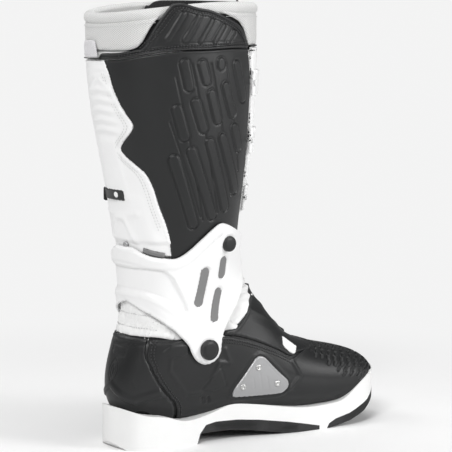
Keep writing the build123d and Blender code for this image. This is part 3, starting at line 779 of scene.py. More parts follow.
def calf_plate():
    """White plate behind the leg, its rivet and slip, and the leather of the outer side."""
    side_front = [(-9, 380), (-6, 350), (-2, 300), (0, 250), (2, 207)]
    low = level(190, (-10, INNER), (-10, OUTER), 5.4, True, 15)
    top = level(375, (-9, OUTER), (-49, INNER), 5.4, True, 13)
    outline = (inner(CALF_EDGE[:1] + CALF_EDGE + [(1, 188)]) + low
               + outer([(2, 190), (2, 205)] + side_front[::-1][1:-1] + [(-9, 377)]) + top)
    obj = panel("calf_plate_moulded", outline, (2.2, 5.4), WHITE_PLASTIC, "shaft", relief=calf_relief,
                edge=1.6, spacing=1.3)
    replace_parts(obj, "calf_plate")
    edge = [locate(x, z, INNER, 5.4) for x, z in CALF_EDGE[1:-1]]
    for name, gap in (("calf_stitches_a", 5.0), ("calf_stitches_b", 7.6)):
        line = [("at", t, a % TURN - gap / LEG_RADIUS) for t, a in edge]
        stitches(name, [line], 6.0, THREAD_WHITE, "shaft", length=2.0)
    side = [(x - 4, z) for x, z in side_front]
    stitches("calf_stitches_c", [outer(side)], 5.6, THREAD_WHITE, "shaft", length=2.0, radius=0.3)

    slip = inner([(-17, 196), (-17, 196), (-3, 192), (-3, 192), (-3, 187), (-3, 187), (-17, 191), (-17, 191)])
    panel("calf_slip_insert", slip, (3.0, 4.7), GREY_PLASTIC, "shaft", edge=0.6, spacing=0.8)
    a = math.pi + 0.06
    t = height_at(197.5, a, 5.0)
    profile = [(0.0, 1.6), (2.2, 1.5), (3.2, 0.9), (3.4, 0.0), (3.4, -1.0), (0.0, -1.0)]
    lathe("calf_rivet", profile, skin(t, a, 5.0), skin_normal(t, a), GREY_METAL, "shaft", around=24)

    strip = outer([(3.5, 206), (3.5, 206), (2, 250), (0, 300), (-4, 350), (-7, 381), (-7, 381), (22, 384),
                   (22, 384), (19.5, 300), (21.5, 228), (30, 226), (70, 224), (84, 221), (84, 221), (84, 206),
                   (84, 206), (40, 204)])
    obj = panel("lateral_leather", strip, (2.0, 3.6), WHITE_LEATHER, "shaft", relief=rim_relief(0.5),
                edge=1.0)
    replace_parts(obj, "lateral_panel")
    line = outer([(7, 212), (5, 250), (3, 300), (-1, 350), (-3, 378)])
    stitches("lateral_stitches", [line], 4.0, THREAD_WHITE, "shaft", length=2.0, radius=0.3)


def leather_tube():
    """White leather of the leg, seen in a strip above the brace and below the shin plate."""
    top = arc(384, 0.0, TURN, 1.9, 25)
    low = arc(lambda a: 203 - 12 * (0.5 - 0.5 * math.cos(a)), TURN, 0.0, 1.9, 41)
    obj = panel("leg_leather", top + low, (0.2, 1.9), WHITE_LEATHER, "shaft", edge=0.8, spacing=2.6)
    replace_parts(obj, "shaft_upper")


# ---- collar, pull tab, tag -----------------------------------------------------------------------

ROLL = 11.0


def rim_height(a):
    """Height of the collar's rim round the leg."""
    return 425.4 + 4.4 * np.cos(a) - 2.6 * np.cos(2 * a)


def collar():
    """Padded mesh on both sides of the flap, the roll over the rim, and their stitches and welts."""
    flap_side = inner([(-41, 385), (-34, 390), (-26, 407), (-17, 419.5)])
    flap_front = inner([(44, 420.5), (44, 420.5), (56, 416.5), (70, 411), (79, 403), (86, 390), (86, 390)])
    top = arc(lambda a: rim_height(a) - ROLL + 3.0, 0.0, TURN, 5.4, 49)
    low_front = level(388.5, (88, INNER), TURN, 5.4, True, 5)
    low_rear = level(384, 0.0, (-49, INNER), 5.4, True, 25)
    start = locate(-17, 419.5, INNER, 5.4)[1] % TURN
    stop = locate(44, 420.5, INNER, 5.4)[1] % TURN
    top_rear = [p for p in top if p[2] <= start + 0.02][::-1]
    top_front = [p for p in top if p[2] >= stop - 0.02][::-1]
    rear = low_rear[:1] + low_rear + flap_side + top_rear + top_rear[-1:]
    wall = panel("collar_padding", rear, (2.2, 5.2), MESH, "shaft", edge=3.0, spacing=2.4)
    puff(wall, 3.0, 1.4)
    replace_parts(wall, "collar")
    front = flap_front + low_front + low_front[-1:] + top_front + top_front[-1:]
    puff(panel("collar_padding_front", front, (2.2, 5.2), MESH, "shaft", edge=3.0, spacing=2.4), 3.0, 1.4)

    count, around = 220, 14
    verts, unrolled = [], []
    flap_mid, flap_half = (start + stop) / 2, (stop - start) / 2
    for i in range(count):
        a = TURN * i / count
        under = step(abs(a - flap_mid) - flap_half - 0.10, 0.12)
        outside, lining = 6.3 * (1 - under) + 2.0 * under, -7.0
        mid, half = (outside + lining) / 2, (outside - lining) / 2
        z_mid = rim_height(a) - ROLL / 2 + 0.8
        pucker = 0.12 * math.sin(a * 160)
        for k in range(around):
            turn = TURN * k / around + math.pi
            square = (abs(math.cos(turn)) ** 2.6 + abs(math.sin(turn)) ** 2.6) ** (-1 / 2.6)
            d = mid + (half + pucker) * square * math.cos(turn)
            z = z_mid + (ROLL / 2 + 0.4) * square * math.sin(turn)
            verts.append(skin(height_at(z, a, d), a, d))
            unrolled.append((a * LEG_RADIUS, k * 2.8))
    faces = [tuple(v % len(verts) for v in face) for face in loop_faces(count + 1, around)]
    roll = new_mesh("collar_roll", verts, faces, MESH, "shaft", unrolled)
    BORDER["collar_roll"] = (list(range(0, len(verts), around)), len(verts))
    puff(roll, 1.2, 0.8)

    seam = arc(lambda a: rim_height(a) - ROLL - 1.6, 0.0, TURN, 5.9, 60)
    rows = [[p for p in seam if p[2] <= start - 0.03], [p for p in seam if p[2] >= stop + 0.03]]
    stitches("collar_stitches", rows, 5.7, THREAD_WHITE, "shaft", pitch=2.6, length=1.8, radius=0.32)
    welts = arc(387, 0.0, 2.45, 5.0, 28), level(387.6, (87, INNER), TURN, 5.0, True, 8)
    for number, line in enumerate(welts):
        for drop in (0.0, 3.2):
            points, _ = path([("at", t - drop / 45, a) for _, t, a in line], 5.0)
            tube(f"collar_welt_{number}_{int(drop)}", points, 0.75, BLACK_LEATHER, "shaft", sides=6)


def rear_details():
    """Pull tab with its piping and stitches, and the rubber tag with its window."""
    corners = ((377.5, -0.31), (377.5, -0.31), (385, -0.31), (391, -0.295), (393.5, -0.26), (393.5, -0.02),
               (391.5, 0.02), (385, 0.045), (377.5, 0.065), (377.5, 0.065))
    outline = [("at", height_at(z, math.pi + a, 9.6), math.pi + a) for z, a in corners]
    tab = panel("pull_tab_soft", outline, (6.3, 8.6), WHITE_WEB, "shaft", edge=1.6, spacing=1.1)
    puff(tab, 3.0, 1.0)
    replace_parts(tab, "pull_tab")
    points, _ = path(arc(376.6, math.pi - 0.46, math.pi + 0.12, 6.6, 9), 6.6)
    tube("pull_tab_piping", points, 0.6, BLACK_LEATHER, "shaft")
    row = arc(380.5, math.pi - 0.28, math.pi + 0.04, 8.4, 7)
    stitches("pull_tab_stitches", [row], 8.5, THREAD_WHITE, "shaft", pitch=2.4, length=1.6)

    top = arc(251.5, math.pi - 0.34, math.pi + 0.21, 6.6, 8)
    low = arc(241, math.pi + 0.21, math.pi - 0.33, 6.6, 8)
    obj = panel("rear_tag_rubber", cornered(top, low), (5.2, 7.0), BLACK_RUBBER, "shaft",
                relief=rim_relief(0.5, 1.1, 0.8), edge=0.8, spacing=0.9)
    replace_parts(obj, "rear_tag")
    oval = []
    for k in np.linspace(0, TURN, 12, endpoint=False):
        a = math.pi + 0.03 + 0.05 * math.cos(k)
        oval.append(("at", height_at(246.3 + 2.9 * math.sin(k), a, 7.4), a))
    panel("rear_tag_window", oval, (6.4, 7.5), WHITE_PLASTIC, "shaft", edge=0.9, spacing=0.7)


# ---- shin plate and straps -----------------------------------------------------------------------

def shin_relief(points, gap, t, a):
    """Three groups of ribs over the shin, and a line down each side."""
    z = points[:, 2]
    rise = 0.6 * groove(gap - 1.3, 1.0)
    centre = step(np.abs(a) - 0.55, 0.05)
    for height in (372, 324, 268):
        for rib in (height - 5, height, height + 5):
            rise = rise + 0.9 * centre * groove(z - rib, 1.6)
    return rise + 0.7 * groove(np.abs(a) - 0.72, 0.035)


def shin():
    """White plate over the shin, which opens on its inner front edge."""
    top = level(386.5, (91.3, INNER), (24.5, OUTER), 5.4, False, 17)
    low = level(224, (84, OUTER), (91.3, INNER), 5.4, False, 11)
    outline = cornered(top) + outer([(22.5, 300), (24, 229), (24, 229), (60, 227)]) + low + low[-1:]
    obj = panel("shin_plate_moulded", outline, (2.2, 5.4), WHITE_PLASTIC, "shin_closure", relief=shin_relief,
                edge=1.6, spacing=1.3, rear=False)
    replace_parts(obj, "shin_plate")


def strap_relief(points, gap, t, a):
    """A raised border, and a ladder of teeth towards the buckle."""
    teeth = step(0.72 - a, 0.05)
    ladder = np.maximum(0, np.sin(a * 42)) ** 2
    return 0.45 * groove(gap - 1.2, 0.8) - 0.5 * teeth * ladder * (1 - step(gap - 4.5, 0.8))


STRAP_HALF = 12.4


def straps():
    """Three plastic straps and the roots that hold them on the shin plate."""
    for number in (1, 2, 3):
        name = f"strap_{number}"
        low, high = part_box(name)
        z = (low.z + high.z) / 2 / MM
        top, bottom = z + STRAP_HALF, z - STRAP_HALF
        outline = cornered(level(top, (98.4, INNER), (46.4, OUTER), 8.4, False, 15),
                           level(bottom, (46.4, OUTER), (98.4, INNER), 8.4, False, 15))
        strap = panel(f"{name}_moulded", outline, (6.3, 8.2), WHITE_PLASTIC, name, relief=strap_relief,
                      edge=1.0, spacing=1.1, rear=False)
        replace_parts(strap, name)
        corners = inner([(92.6, top)] * 2 + [(97, top)] * 2 + [(97, bottom)] * 2 + [(92.6, bottom)] * 2)
        root = panel(f"strap_root_{number}", corners, (5.6, 8.3), WHITE_PLASTIC, "shin_closure", edge=1.0,
                     spacing=0.8, rear=False)
        if number == 1:
            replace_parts(root, "strap_roots")


def buckle_frame_of(number):
    """Placement of a buckle: local X towards the strap, Y outwards, Z along the pin."""
    low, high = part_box(f"lever_pin_{number}")
    centre = (low + high) / 2 / MM
    turn = Matrix.Rotation(math.radians(-54 if number == 4 else 0), 4, "Y")
    return Matrix.Translation(centre) @ turn


def lofted(name, stations, place, look, body, around=20):
    """Bar along local X through stations (x, y_low, y_high, half_z) with soft rectangular sections."""
    power = 4.0
    verts = []
    for x, y_low, y_high, half in stations:
        for k in range(around):
            turn = TURN * (k + 0.5) / around
            c, s = math.cos(turn), math.sin(turn)
            r = (abs(c) ** power + abs(s) ** power) ** (-1 / power)
            y = (y_low + y_high) / 2 + (y_high - y_low) / 2 * r * c
            verts.append(tuple(place @ Vector((x, y, half * r * s))))
    obj = new_mesh(name, verts, capped_faces(len(stations), around), look, body)
    mod = obj.modifiers.new("round", "BEVEL")
    mod.width = 0.35 * MM
    mod.segments = 2
    mod.angle_limit = math.radians(40)
    return obj


LEVER = [(2.4, -1.2, 1.6, 7.2), (1.6, -1.9, 2.3, 7.4), (-3, -1.4, 2.6, 7.4), (-9, -1.3, 2.4, 7.2),
         (-10, -1.3, 1.7, 7.0), (-24, -1.3, 1.5, 6.6), (-25, -1.3, 2.3, 6.8), (-33, -1.0, 2.6, 7.3),
         (-38, -0.2, 2.6, 7.0), (-39.7, 0.6, 2.2, 6.0)]


def buckles():
    """Shaped levers with ribs for the thumb; frames, pins and catches keep their CAD shape."""
    for number in (1, 2, 3, 4):
        place = buckle_frame_of(number)
        name = f"lever_{number}"
        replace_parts(lofted(f"{name}_shaped", LEVER, place, BLACK_PLASTIC, name), name)
        for k in range(5):
            x = -11.5 - 2.6 * k
            rib = [(x - 0.6, 1.1, 2.2, 4.6), (x + 0.6, 1.1, 2.2, 4.6)]
            lofted(f"{name}_rib_{k}", rib, place, BLACK_PLASTIC, name, around=12)
        dress(f"buckle_frame_{number}", GREY_METAL, 0.5)
        dress(f"lever_pin_{number}", STEEL, 0.3)
        dress(f"catch_{number}", BLACK_PLASTIC, 0.9)
    dress("root_screws", WHITE_PLASTIC, 0.4)


# ---- ankle brace ---------------------------------------------------------------------------------

BRACE_TOP = [(-24, 194), (-20, 190), (-14, 187), (-6, 186), (3, 186), (10, 189), (18, 195), (28, 203.5),
             (40, 213), (50, 218.5), (59, 217.5), (70, 213.5), (82, 208), (90, 202)]
BRACE_FRONT = [(94.5, 190), (96.5, 172), (94.5, 156), (86, 141), (74, 126), (65, 113), (61, 101)]
BRACE_LUG = [(60, 92), (55, 84.5), (48, 80.5), (40, 80), (32, 84), (26, 92), (22, 100)]
BRACE_LOW = [(14, 108), (5, 116), (-5, 123.5), (-14, 131), (-20, 137), (-24, 140)]
POCKET = [(-40, 176), (-16, 177), (-5, 175.5), (3.5, 168), (19.5, 137), (19, 131), (7, 138), (-6, 146.5),
          (-18, 152), (-40, 153)]
LOWER_RIDGE = [(-40, 150), (-18, 149), (-6, 142), (7, 132.5), (19, 126), (28, 110)]
SLOTS = [((36, 171), (31.5, 143), 5.0), ((60, 180.5), (59.7, 168.5), 4.8), ((56, 150), (52, 126), 4.6)]
CAP = [(0.0, 0.9), (0.55, 0.85), (0.8, 0.6), (0.84, 0.35), (0.9, 0.55), (0.97, 0.3), (1.0, -0.4), (1.0, -1.5),
       (0.0, -1.5)]         # share of the radius, height
DISCS = [((44, 96), 10.0), ((60.5, 198.5), 7.6)]


def brace_relief(points, gap, t, a):
    """Raised upper band and bosses, a sunk pocket to the rear and a ridge under it."""
    rise = 0.9 * step(near(points, [(-45, 195)] + BRACE_TOP) - 9.5, 1.2) - 2.1 * inset(points, POCKET, 1.8)
    low_edge = [(-45, 141)] + BRACE_LOW[::-1] + [(22, 100)]
    away = near(points, low_edge)
    ridge = near(points, LOWER_RIDGE)
    rise = rise + 0.8 * groove(ridge, 1.8)
    rise = rise - 0.8 * step(away - 6, 3) * (1 - step(ridge - 1.5, 1.5))
    for low, high, radius in SLOTS:
        rise = rise - 0.5 * step(near(points, [low, high]) - radius - 1.6, 0.5)
    for (x, z), radius in DISCS:
        away = np.hypot(points[:, 0] - x, points[:, 2] - z)
        rise = rise + 1.3 * step(away - radius - 3.4, 1.0)
    return rise


def slot_outline(low, high, radius, side):
    """Long hole with round ends."""
    a, b = np.array(low, float), np.array(high, float)
    run = (b - a) / np.linalg.norm(b - a)
    cross = np.array([-run[1], run[0]])
    points = []
    for centre, sign in ((b, 1), (a, -1)):
        for turn in np.linspace(0, math.pi, 7):
            points.append(centre + sign * radius * (run * math.sin(turn) - cross * math.cos(turn)))
    return [(p[0], p[1], side) for p in points]


SIDES = ((INNER, "inner"), (OUTER, "outer"))


def brace():
    """Hinged white brace, its slot inserts and the caps of its pivots."""
    side = BRACE_TOP + BRACE_FRONT + BRACE_LUG + BRACE_LOW
    rear_low = level(141, (-24, INNER), (-24, OUTER), 9.0, True, 7)
    rear_top = level(195, (-24, OUTER), (-24, INNER), 9.0, True, 7)
    outline = inner(side) + rear_low[1:-1] + outer(side[::-1]) + rear_top[1:-1]
    holes = [slot_outline(low, high, radius, s) for low, high, radius in SLOTS for s in (INNER, OUTER)]
    obj = panel("ankle_brace_moulded", outline, (5.6, 8.8), WHITE_PLASTIC, "ankle_brace", holes=holes,
                relief=brace_relief, edge=2.0, spacing=1.15)
    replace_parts(obj, "ankle_brace")
    for number, (low, high, radius) in enumerate(SLOTS):
        for s, word in SIDES:
            loop = slot_outline(low, high, radius + 1.0, s)
            insert = panel(f"brace_insert_{word}_{number}", loop, (5.7, 7.4), GREY_PLASTIC, "ankle_brace",
                           edge=0.6, spacing=0.9)
            if number == 0 and s == INNER:
                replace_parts(insert, "brace_inserts")
    for bolts, radius, body in (("lower_pivot_bolts", 9.7, "foot"), ("upper_pivot_bolts", 7.3, "shaft")):
        dress(bolts, BLACK_PLASTIC, 0.6)
        low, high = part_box(bolts)
        centre_x, centre_z = (low.x + high.x) / 2 / MM, (low.z + high.z) / 2 / MM
        profile = [(radius * share, height) for share, height in CAP]
        for (s, word), face in zip(SIDES, (low.y / MM, high.y / MM)):
            lathe(f"{bolts}_cap_{word}", profile, (centre_x, face, centre_z), (0, s, 0), BLACK_RUBBER, body)
    for nuts in ("lower_pivot_nuts", "upper_pivot_nuts"):
        dress(nuts, STEEL, 0.3)


# ---- foot: guards, heel cup, plate, bellows ------------------------------------------------------

HEEL_SEAM = [(-15, 107), (-17, 99), (-18, 91), (-15, 82), (-7, 66), (6, 50), (15, 38), (21, 25)]
INSTEP_SEAM = [(65, 106), (83, 103), (100, 98), (118, 91), (133, 84.5), (146, 78), (156, 80)]
FACET = [(-7, 95), (4, 103), (24, 103), (24, 91), (14, 89), (6, 88), (0, 90)]
PLATE = [(79, 42.6), (75.2, 45), (76, 50), (81, 57), (97, 75.5), (101, 80), (106, 82), (111, 80.5), (116, 76),
         (134, 58.5), (138, 53.5), (137.5, 48), (133, 43.6), (126, 42), (100, 42)]
TRIANGLE = [(40, 54), (61, 76), (68, 56), (56, 51), (40, 54)]
MARKS = [((42.5, 45.5), (44.5, 41.5)), ((48.5, 45.5), (50.5, 41.5))]


def toe_slots(t, a):
    """Rows of slanted slots over the front of the foot, fewer in each row towards the ankle."""
    depth = np.zeros(len(t))
    first = float(np.interp(2.05, SCAN, RUN))
    for i in range(9):
        for j in range(10):
            if j + i * 0.75 > 10.0:
                continue
            du = np.interp(t, SCAN, RUN) - first - 8.6 * i - 2.6 * (j % 2)
            dv = np.abs(a) * FOOT_RADIUS - 16.0 - 7.6 * j
            along = 0.50 * du + 0.87 * dv
            across = 0.87 * du - 0.50 * dv
            long_half = 3.4 if j > 1 else 2.4
            away = np.hypot(np.maximum(np.abs(along) - long_half, 0), across)
            depth = np.maximum(depth, step(away - 1.35, 0.35))
    return depth


def guard_relief(points, gap, t, a):
    """Facets, the bed of the plate, the triangle and its marks, ridges, and the toe's slots."""
    rise = 0.5 * groove(gap - 1.2, 0.9)
    rise = rise + 1.2 * inset(points, FACET, 2.4)
    rise = rise - 0.9 * inset(points, PLATE, 1.2)
    rise = rise + 0.7 * groove(near(points, PLATE + PLATE[:1]) - 2.2, 1.6)
    rise = rise - 0.55 * groove(near(points, TRIANGLE), 0.7)
    rise = rise + 0.35 * inset(points, TRIANGLE[:-1], 1.5)
    for line in ([(5, 88), (4, 77), (24, 51), (40, 52)], [(140, 45), (154, 58), (146, 72)],
                 [(67, 92), (72, 78), (60, 80), (52, 66)]):
        rise = rise + 0.9 * groove(near(points, line), 2.0)
    for mark in MARKS:
        rise = rise - 1.3 * step(near(points, mark) - 1.6, 0.4)
    slots = toe_slots(t, a) * step(t - 5.6, 0.1)
    return np.clip(rise, -1.4, 1.5) - 1.8 * slots


def across_top(points):
    """Points over the instep, given as (height of the body's own top, angle)."""
    return [("at", float(np.interp(z, SCAN_ROWS[:, 1], SCAN)), a) for z, a in points]


def guards():
    """One black guard over the toe and both sides of the foot, with its seams."""
    side = [(INSTEP_SEAM[0][0] - 40, 107)] + [(x, z - 1.6) for x, z in INSTEP_SEAM]
    seam = [(x + 1.0, z) for x, z in HEEL_SEAM]
    over = across_top([(82, 0.5), (83, 0.2), (83, -0.2), (82, -0.5)])
    bottom = [(30, 20), (60, 24), (92, 29), (121, 25), (161, 20), (186, 19), (208, 22), (222, 29), (235, 38),
              (247, 44)]
    tip = [("at", 0.25, -0.8), ("at", 0.12, 0.0), ("at", 0.25, 0.8)]
    outline = (inner(seam[:1] + seam + bottom) + tip
               + outer(bottom[::-1] + seam[::-1] + seam[:1] + side) + over + inner(side[::-1]))
    obj = panel("foot_guard_moulded", outline, (2.2, 4.2), BLACK_RUBBER, "foot", relief=guard_relief,
                spacing=0.95, rear=False)
    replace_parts(obj, "medial_guard", "lateral_guard", "toe_cap")
    rows = [side_of([(x + gap, z) for x, z in HEEL_SEAM]) for side_of in (inner, outer) for gap in (3.4, 6.0)]
    stitches("heel_stitches", rows, 4.8, THREAD_BLACK, "foot", length=2.2, radius=0.6, rear=False)
    rows = [side_of([(x - 0.2 * gap, z - gap) for x, z in INSTEP_SEAM[:-1]])
            for gap in (4.0, 6.6) for side_of in (inner, outer)]
    stitches("instep_stitches", rows, 4.7, THREAD_BLACK, "foot", length=2.2, radius=0.55, rear=False)


def heel_relief(points, gap, t, a):
    """Grooves under the rim and round the rear, a ring on each side and a ledge above the sole."""
    x, y, z = points.T
    rise = 0.5 * groove(gap - 1.2, 1.0)
    top = 107 + 0.09 * np.maximum(0, x + 22)
    for drop in (3.2, 5.4):
        rise = rise - 0.8 * groove(z - top + drop, 0.7)
    for drop in (9.0, 12.0, 15.0):
        rise = rise - 1.1 * groove(z - 106 + drop, 0.9) * step(np.abs(y) - 12, 2)
    away = np.hypot(y + 6 * np.sign(y), z - 76)
    rise = rise + 1.3 * step(away - 11, 0.8) - 1.0 * groove(away - 12.2, 0.8) - 1.0 * groove(away - 8.0, 0.8)
    ledge = 48 + 0.62 * np.abs(np.abs(y) - 24)
    rise = rise + 1.6 * step(np.abs(z - ledge) - 3.6, 1.6)
    for side in (-1, 1):
        rise = rise - 0.7 * step(near(points, [(-29, side * 24, 67), (-27, side * 26, 61)]) - 0.7, 0.4)
    return rise


def heel():
    """Black cup round the heel."""
    seam = [(x - 0.8, z) for x, z in HEEL_SEAM]
    top_rear = arc(107.5, 2.3, TURN - 2.3, 4.2, 9)
    underside = ((9.6, TURN - 2.55), (9.75, 3.4), (9.8, math.pi), (9.75, 2.88), (9.6, 2.55))
    low = [("at", t, a) for t, a in underside]
    outline = (inner(seam[:1] + seam + [(20, 24)]) + low
               + outer([(20, 24)] + seam[::-1] + seam[:1]) + top_rear)
    obj = panel("heel_cup_moulded", outline, (2.2, 4.3), BLACK_RUBBER, "foot", relief=heel_relief, edge=1.4,
                spacing=1.0)
    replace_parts(obj, "heel_cup")


def plate_relief(points, gap, t, a):
    """A raised edge and three parallel grooves."""
    rise = 0.3 * groove(gap - 1.2, 0.7)
    for mark in ([(97, 61), (99, 50)], [(105, 65), (107, 50)], [(113, 61), (115, 50)]):
        rise = rise - 0.25 * groove(near(points, mark), 0.5)
    return rise


SCREW = [(0.0, 0.5), (1.0, 0.55), (1.15, 1.15), (2.2, 1.2), (2.9, 0.8), (3.15, 0.0), (3.15, -0.6),
         (0.0, -0.6)]


def plate_and_screws():
    """Grey metal plate of the inner side and its three screws."""
    outline = inner(PLATE[-1:] + PLATE[:-1])
    obj = panel("guard_plate_shaped", outline, (3.4, 5.7), GREY_METAL, "foot", relief=plate_relief, edge=0.9,
                spacing=0.9, rear=False)
    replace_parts(obj, "guard_plate")
    for number, (x, z) in enumerate(((103.5, 71), (86, 53), (125, 53))):
        t, a = locate(x, z, INNER, 5.7)
        screw = lathe(f"plate_screw_{number}", SCREW, skin(t, a, 5.6), skin_normal(t, a), STEEL, "foot",
                      around=24)
        if number == 0:
            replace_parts(screw, "plate_screws")


def stretch(obj):
    """Bakes the soft piece's placement into its mesh, in metres."""
    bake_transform(obj)


def soft_ankle():
    """White leather behind the brace, with two rows of stitches that hold it down."""
    reach = 1.15
    top = arc(184, reach, TURN - reach, 1.8, 31)
    low = arc(lambda a: 103 + 6 * step(abs(a - math.pi) - 1.2, 0.4), TURN - reach, reach, 1.8, 31)
    obj = panel("ankle_gaiter_leather", cornered(top, low), (0.1, 1.9), WHITE_LEATHER, None,
                relief=rim_relief(0.4, 1.4, 1.0), edge=1.4, spacing=2.3)
    held = []
    mesh_points = np.array([v.co for v in obj.data.vertices]) / MM
    for line in ([(-40, 130), (-14, 129), (10, 117)], [(-40, 117), (-14, 118), (-4, 116)]):
        held += np.nonzero(near(mesh_points, line) < 1.3)[0].tolist()
    puff(obj, 1.5, 1.6, grow=0.05, pins=held)
    stretch(obj)
    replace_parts(obj, "ankle_gaiter")
    rows = [[(-17, 130.5), (-12, 129.5), (-4, 126), (4, 121)], [(-20, 118.5), (-14, 118), (-6, 116.5)],
            [(-16, 109), (-14, 116), (-11, 122), (-6, 125.5), (0, 126)],
            [(-14, 108), (-12, 115), (-9, 120), (-4, 123), (2, 123)]]
    lines = [side_of(row) for side_of in (inner, outer) for row in rows]
    lines += [arc(z, 2.55, 3.75, 2.2, 9) for z in (130.5, 118.5)]
    obj = stitches("ankle_stitches", lines, 2.7, THREAD_WHITE, None, length=2.0, radius=0.32)
    stretch(obj)


def folds(points, gap, t, a):
    """Soft folds across the front of the ankle, sunk where the closure covers them."""
    z = points[:, 2]
    wave = 1.1 * np.sin((z - 128) * 0.78 + 1.2 * np.sin(a * 3.0)) * step(134 - z, 8)
    return np.minimum(wave, 1.2) - 1.6 * step(200 - z, 4)


def pleats(points, gap, t, a):
    """Two wide pleats over the instep and a raised edge."""
    z = points[:, 2] + 0.45 * (points[:, 0] - 110)
    wave = 0.9 * groove(np.mod(z - 104, 13.0) - 6.5, 2.4) * step(116 - z, 8)
    return wave + 0.7 * groove(gap - 1.4, 1.0)


def front_ankle():
    """White folded leather in front of the ankle, and the black bellows below it."""
    wide = 1.35
    top = arc(209, -wide, wide, 1.2, 15)
    low = arc(lambda a: 112 + 14 * math.cos(a) ** 2, wide, -wide, 1.2, 15)
    front = panel("front_gaiter_leather", cornered(top, low), (-0.6, 1.7), WHITE_LEATHER, None, relief=folds,
                  edge=1.6, spacing=2.0, rear=False)
    puff(front, 2.0, 1.6, grow=0.06)
    stretch(front)

    left = [(70, 111), (81, 112), (90, 118), (98, 127), (103.5, 135.5), (107, 143)]
    over = across_top([(80.5, 0.6), (80, 0.3), (80, 0.0), (80, -0.3), (80.5, -0.6)])
    outline = (inner(left[:1] + left) + arc(150, -0.5, 0.5, 3.9, 5)
               + outer(left[::-1] + left[:1] + INSTEP_SEAM) + over
               + inner(INSTEP_SEAM[::-1] + INSTEP_SEAM[:1]))
    obj = panel("instep_bellows_moulded", outline, (0.9, 3.7), BLACK_LEATHER, None, relief=pleats, edge=1.6,
                spacing=1.4, rear=False)
    stretch(obj)
    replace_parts(obj, "instep_bellows")


def instep():
    """White patch and the narrow black strap over the instep."""
    patch = inner([(141, 98), (141, 98), (149, 92.5), (158, 86), (158, 86), (152, 80.5), (148, 80.5),
                   (143, 84), (138, 90)])
    obj = panel("instep_patch_leather", patch, (3.6, 5.0), WHITE_LEATHER, "foot", edge=1.0, spacing=0.9,
                rear=False)
    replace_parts(obj, "instep_patch")
    over = [("at", 5.94, -0.2)] * 2 + [("at", 5.42, -0.2)] * 2 + [("at", 5.4, 0.0), ("at", 5.35, 0.5)]
    side = outer([(146, 82), (129, 65), (129, 65), (113, 77), (113, 77), (127, 93)])
    band = over + side + [("at", 5.98, 0.6), ("at", 6.0, 0.0)]
    obj = panel("strap_4_moulded", band, (4.5, 6.4), BLACK_LEATHER, "strap_4",
                relief=rim_relief(0.45, 1.2, 0.8), edge=1.0, spacing=1.1, rear=False)
    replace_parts(obj, "strap_4")


# ---- sole, lining --------------------------------------------------------------------------------

def quilting(t, a):
    """Vertical quilted rolls, thicker just under the rim."""
    below = rim_height(a) - skin(t, a, -4.0)[..., 2]
    return 0.9 * np.abs(np.sin(a * 12)) ** 0.6 + 0.5 * step(below - 24, 3)


def linings():
    """Padded lining, and the leather under the guards."""
    for name, replaced, start, height, offset, depths, look in (
            ("foot_leather", "foot_upper", 0.4, 107, 2.0, (0.1, 1.9), BLACK_LEATHER),
            ("foot_lining", "foot_liner", 0.6, 119, 0.0, (-4.0, -0.3), LINER)):
        foot = sleeve(name, lambda a: start, lambda a: crossing(height, a, offset), depths, look, "foot")
        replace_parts(foot, replaced)
    leg = sleeve("leg_lining", lambda a: height_at(206, a, 0.0),
                 lambda a: height_at(rim_height(a) - 3, a, 0.0), (-4.0, -0.3), LINER, "shaft", around=240,
                 rings=90, relief=quilting)
    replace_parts(leg, "shaft_liner")


def sole():
    """Midsole, treads and boards keep their CAD shape."""
    dress("midsole", WHITE_SOLE, 1.2)
    for name in ("heel_tread", "arch_tread", "toe_tread"):
        dress(name, BLACK_SOLE, 0.8)
    dress("insole_board", BOARD)
    dress("footbed", LINER)
    dress("shank", STEEL, 0.3)


def tongue():
    """Padded tongue behind the closure."""
    crest = ((415, -0.95), (426, -0.75), (430, -0.35), (430.5, 0.1), (431, 0.6), (431.5, 1.1), (431, 1.3),
             (426, 1.42), (405, 1.5))
    top = [("at", height_at(z, a, -6.0), a) for z, a in crest]
    low = [("at", height_at(222, a, -6.0), a) for a in (1.2, 0.6, 0.0, -0.6, -0.95)]
    obj = panel("tongue_padded", top + cornered(low), (-9.4, -6.0), LINER, "shaft", edge=2.2, spacing=3.2,
                rear=False)
    puff(obj, 2.0, 1.2)
    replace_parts(obj, "tongue")


# ---- stage ---------------------------------------------------------------------------------------

def floor_paper(far):
    """Pale paper that fades to one even tone away from the boot, so no horizon shows."""
    mat = material("floor_paper", (0.86, 0.86, 0.86), 0.9, grain=300, bump=0.02, blotch=0.01)
    tree = mat.node_tree
    link = tree.links.new
    shader = next(n for n in tree.nodes if n.type == "BSDF_PRINCIPLED")
    out = next(n for n in tree.nodes if n.type == "OUTPUT_MATERIAL")
    place = tree.nodes.new("ShaderNodeNewGeometry")
    reach = tree.nodes.new("ShaderNodeVectorMath")
    reach.operation = "LENGTH"
    fade = tree.nodes.new("ShaderNodeMapRange")
    fade.interpolation_type = "SMOOTHSTEP"
    fade.inputs["From Min"].default_value = 0.25
    fade.inputs["From Max"].default_value = 0.75
    glow = tree.nodes.new("ShaderNodeEmission")
    glow.inputs[0].default_value = (far, far, far, 1)
    both = tree.nodes.new("ShaderNodeMixShader")
    link(place.outputs["Position"], reach.inputs[0])
    link(reach.outputs["Value"], fade.inputs["Value"])
    for source, target in zip((fade, shader, glow), both.inputs):
        link(source.outputs[0], target)
    link(both.outputs[0], out.inputs[0])
    return mat


PAPER = 0.90            # tone of the background and of the distant floor
AMBIENT = 0.20          # strength of the even light from all round
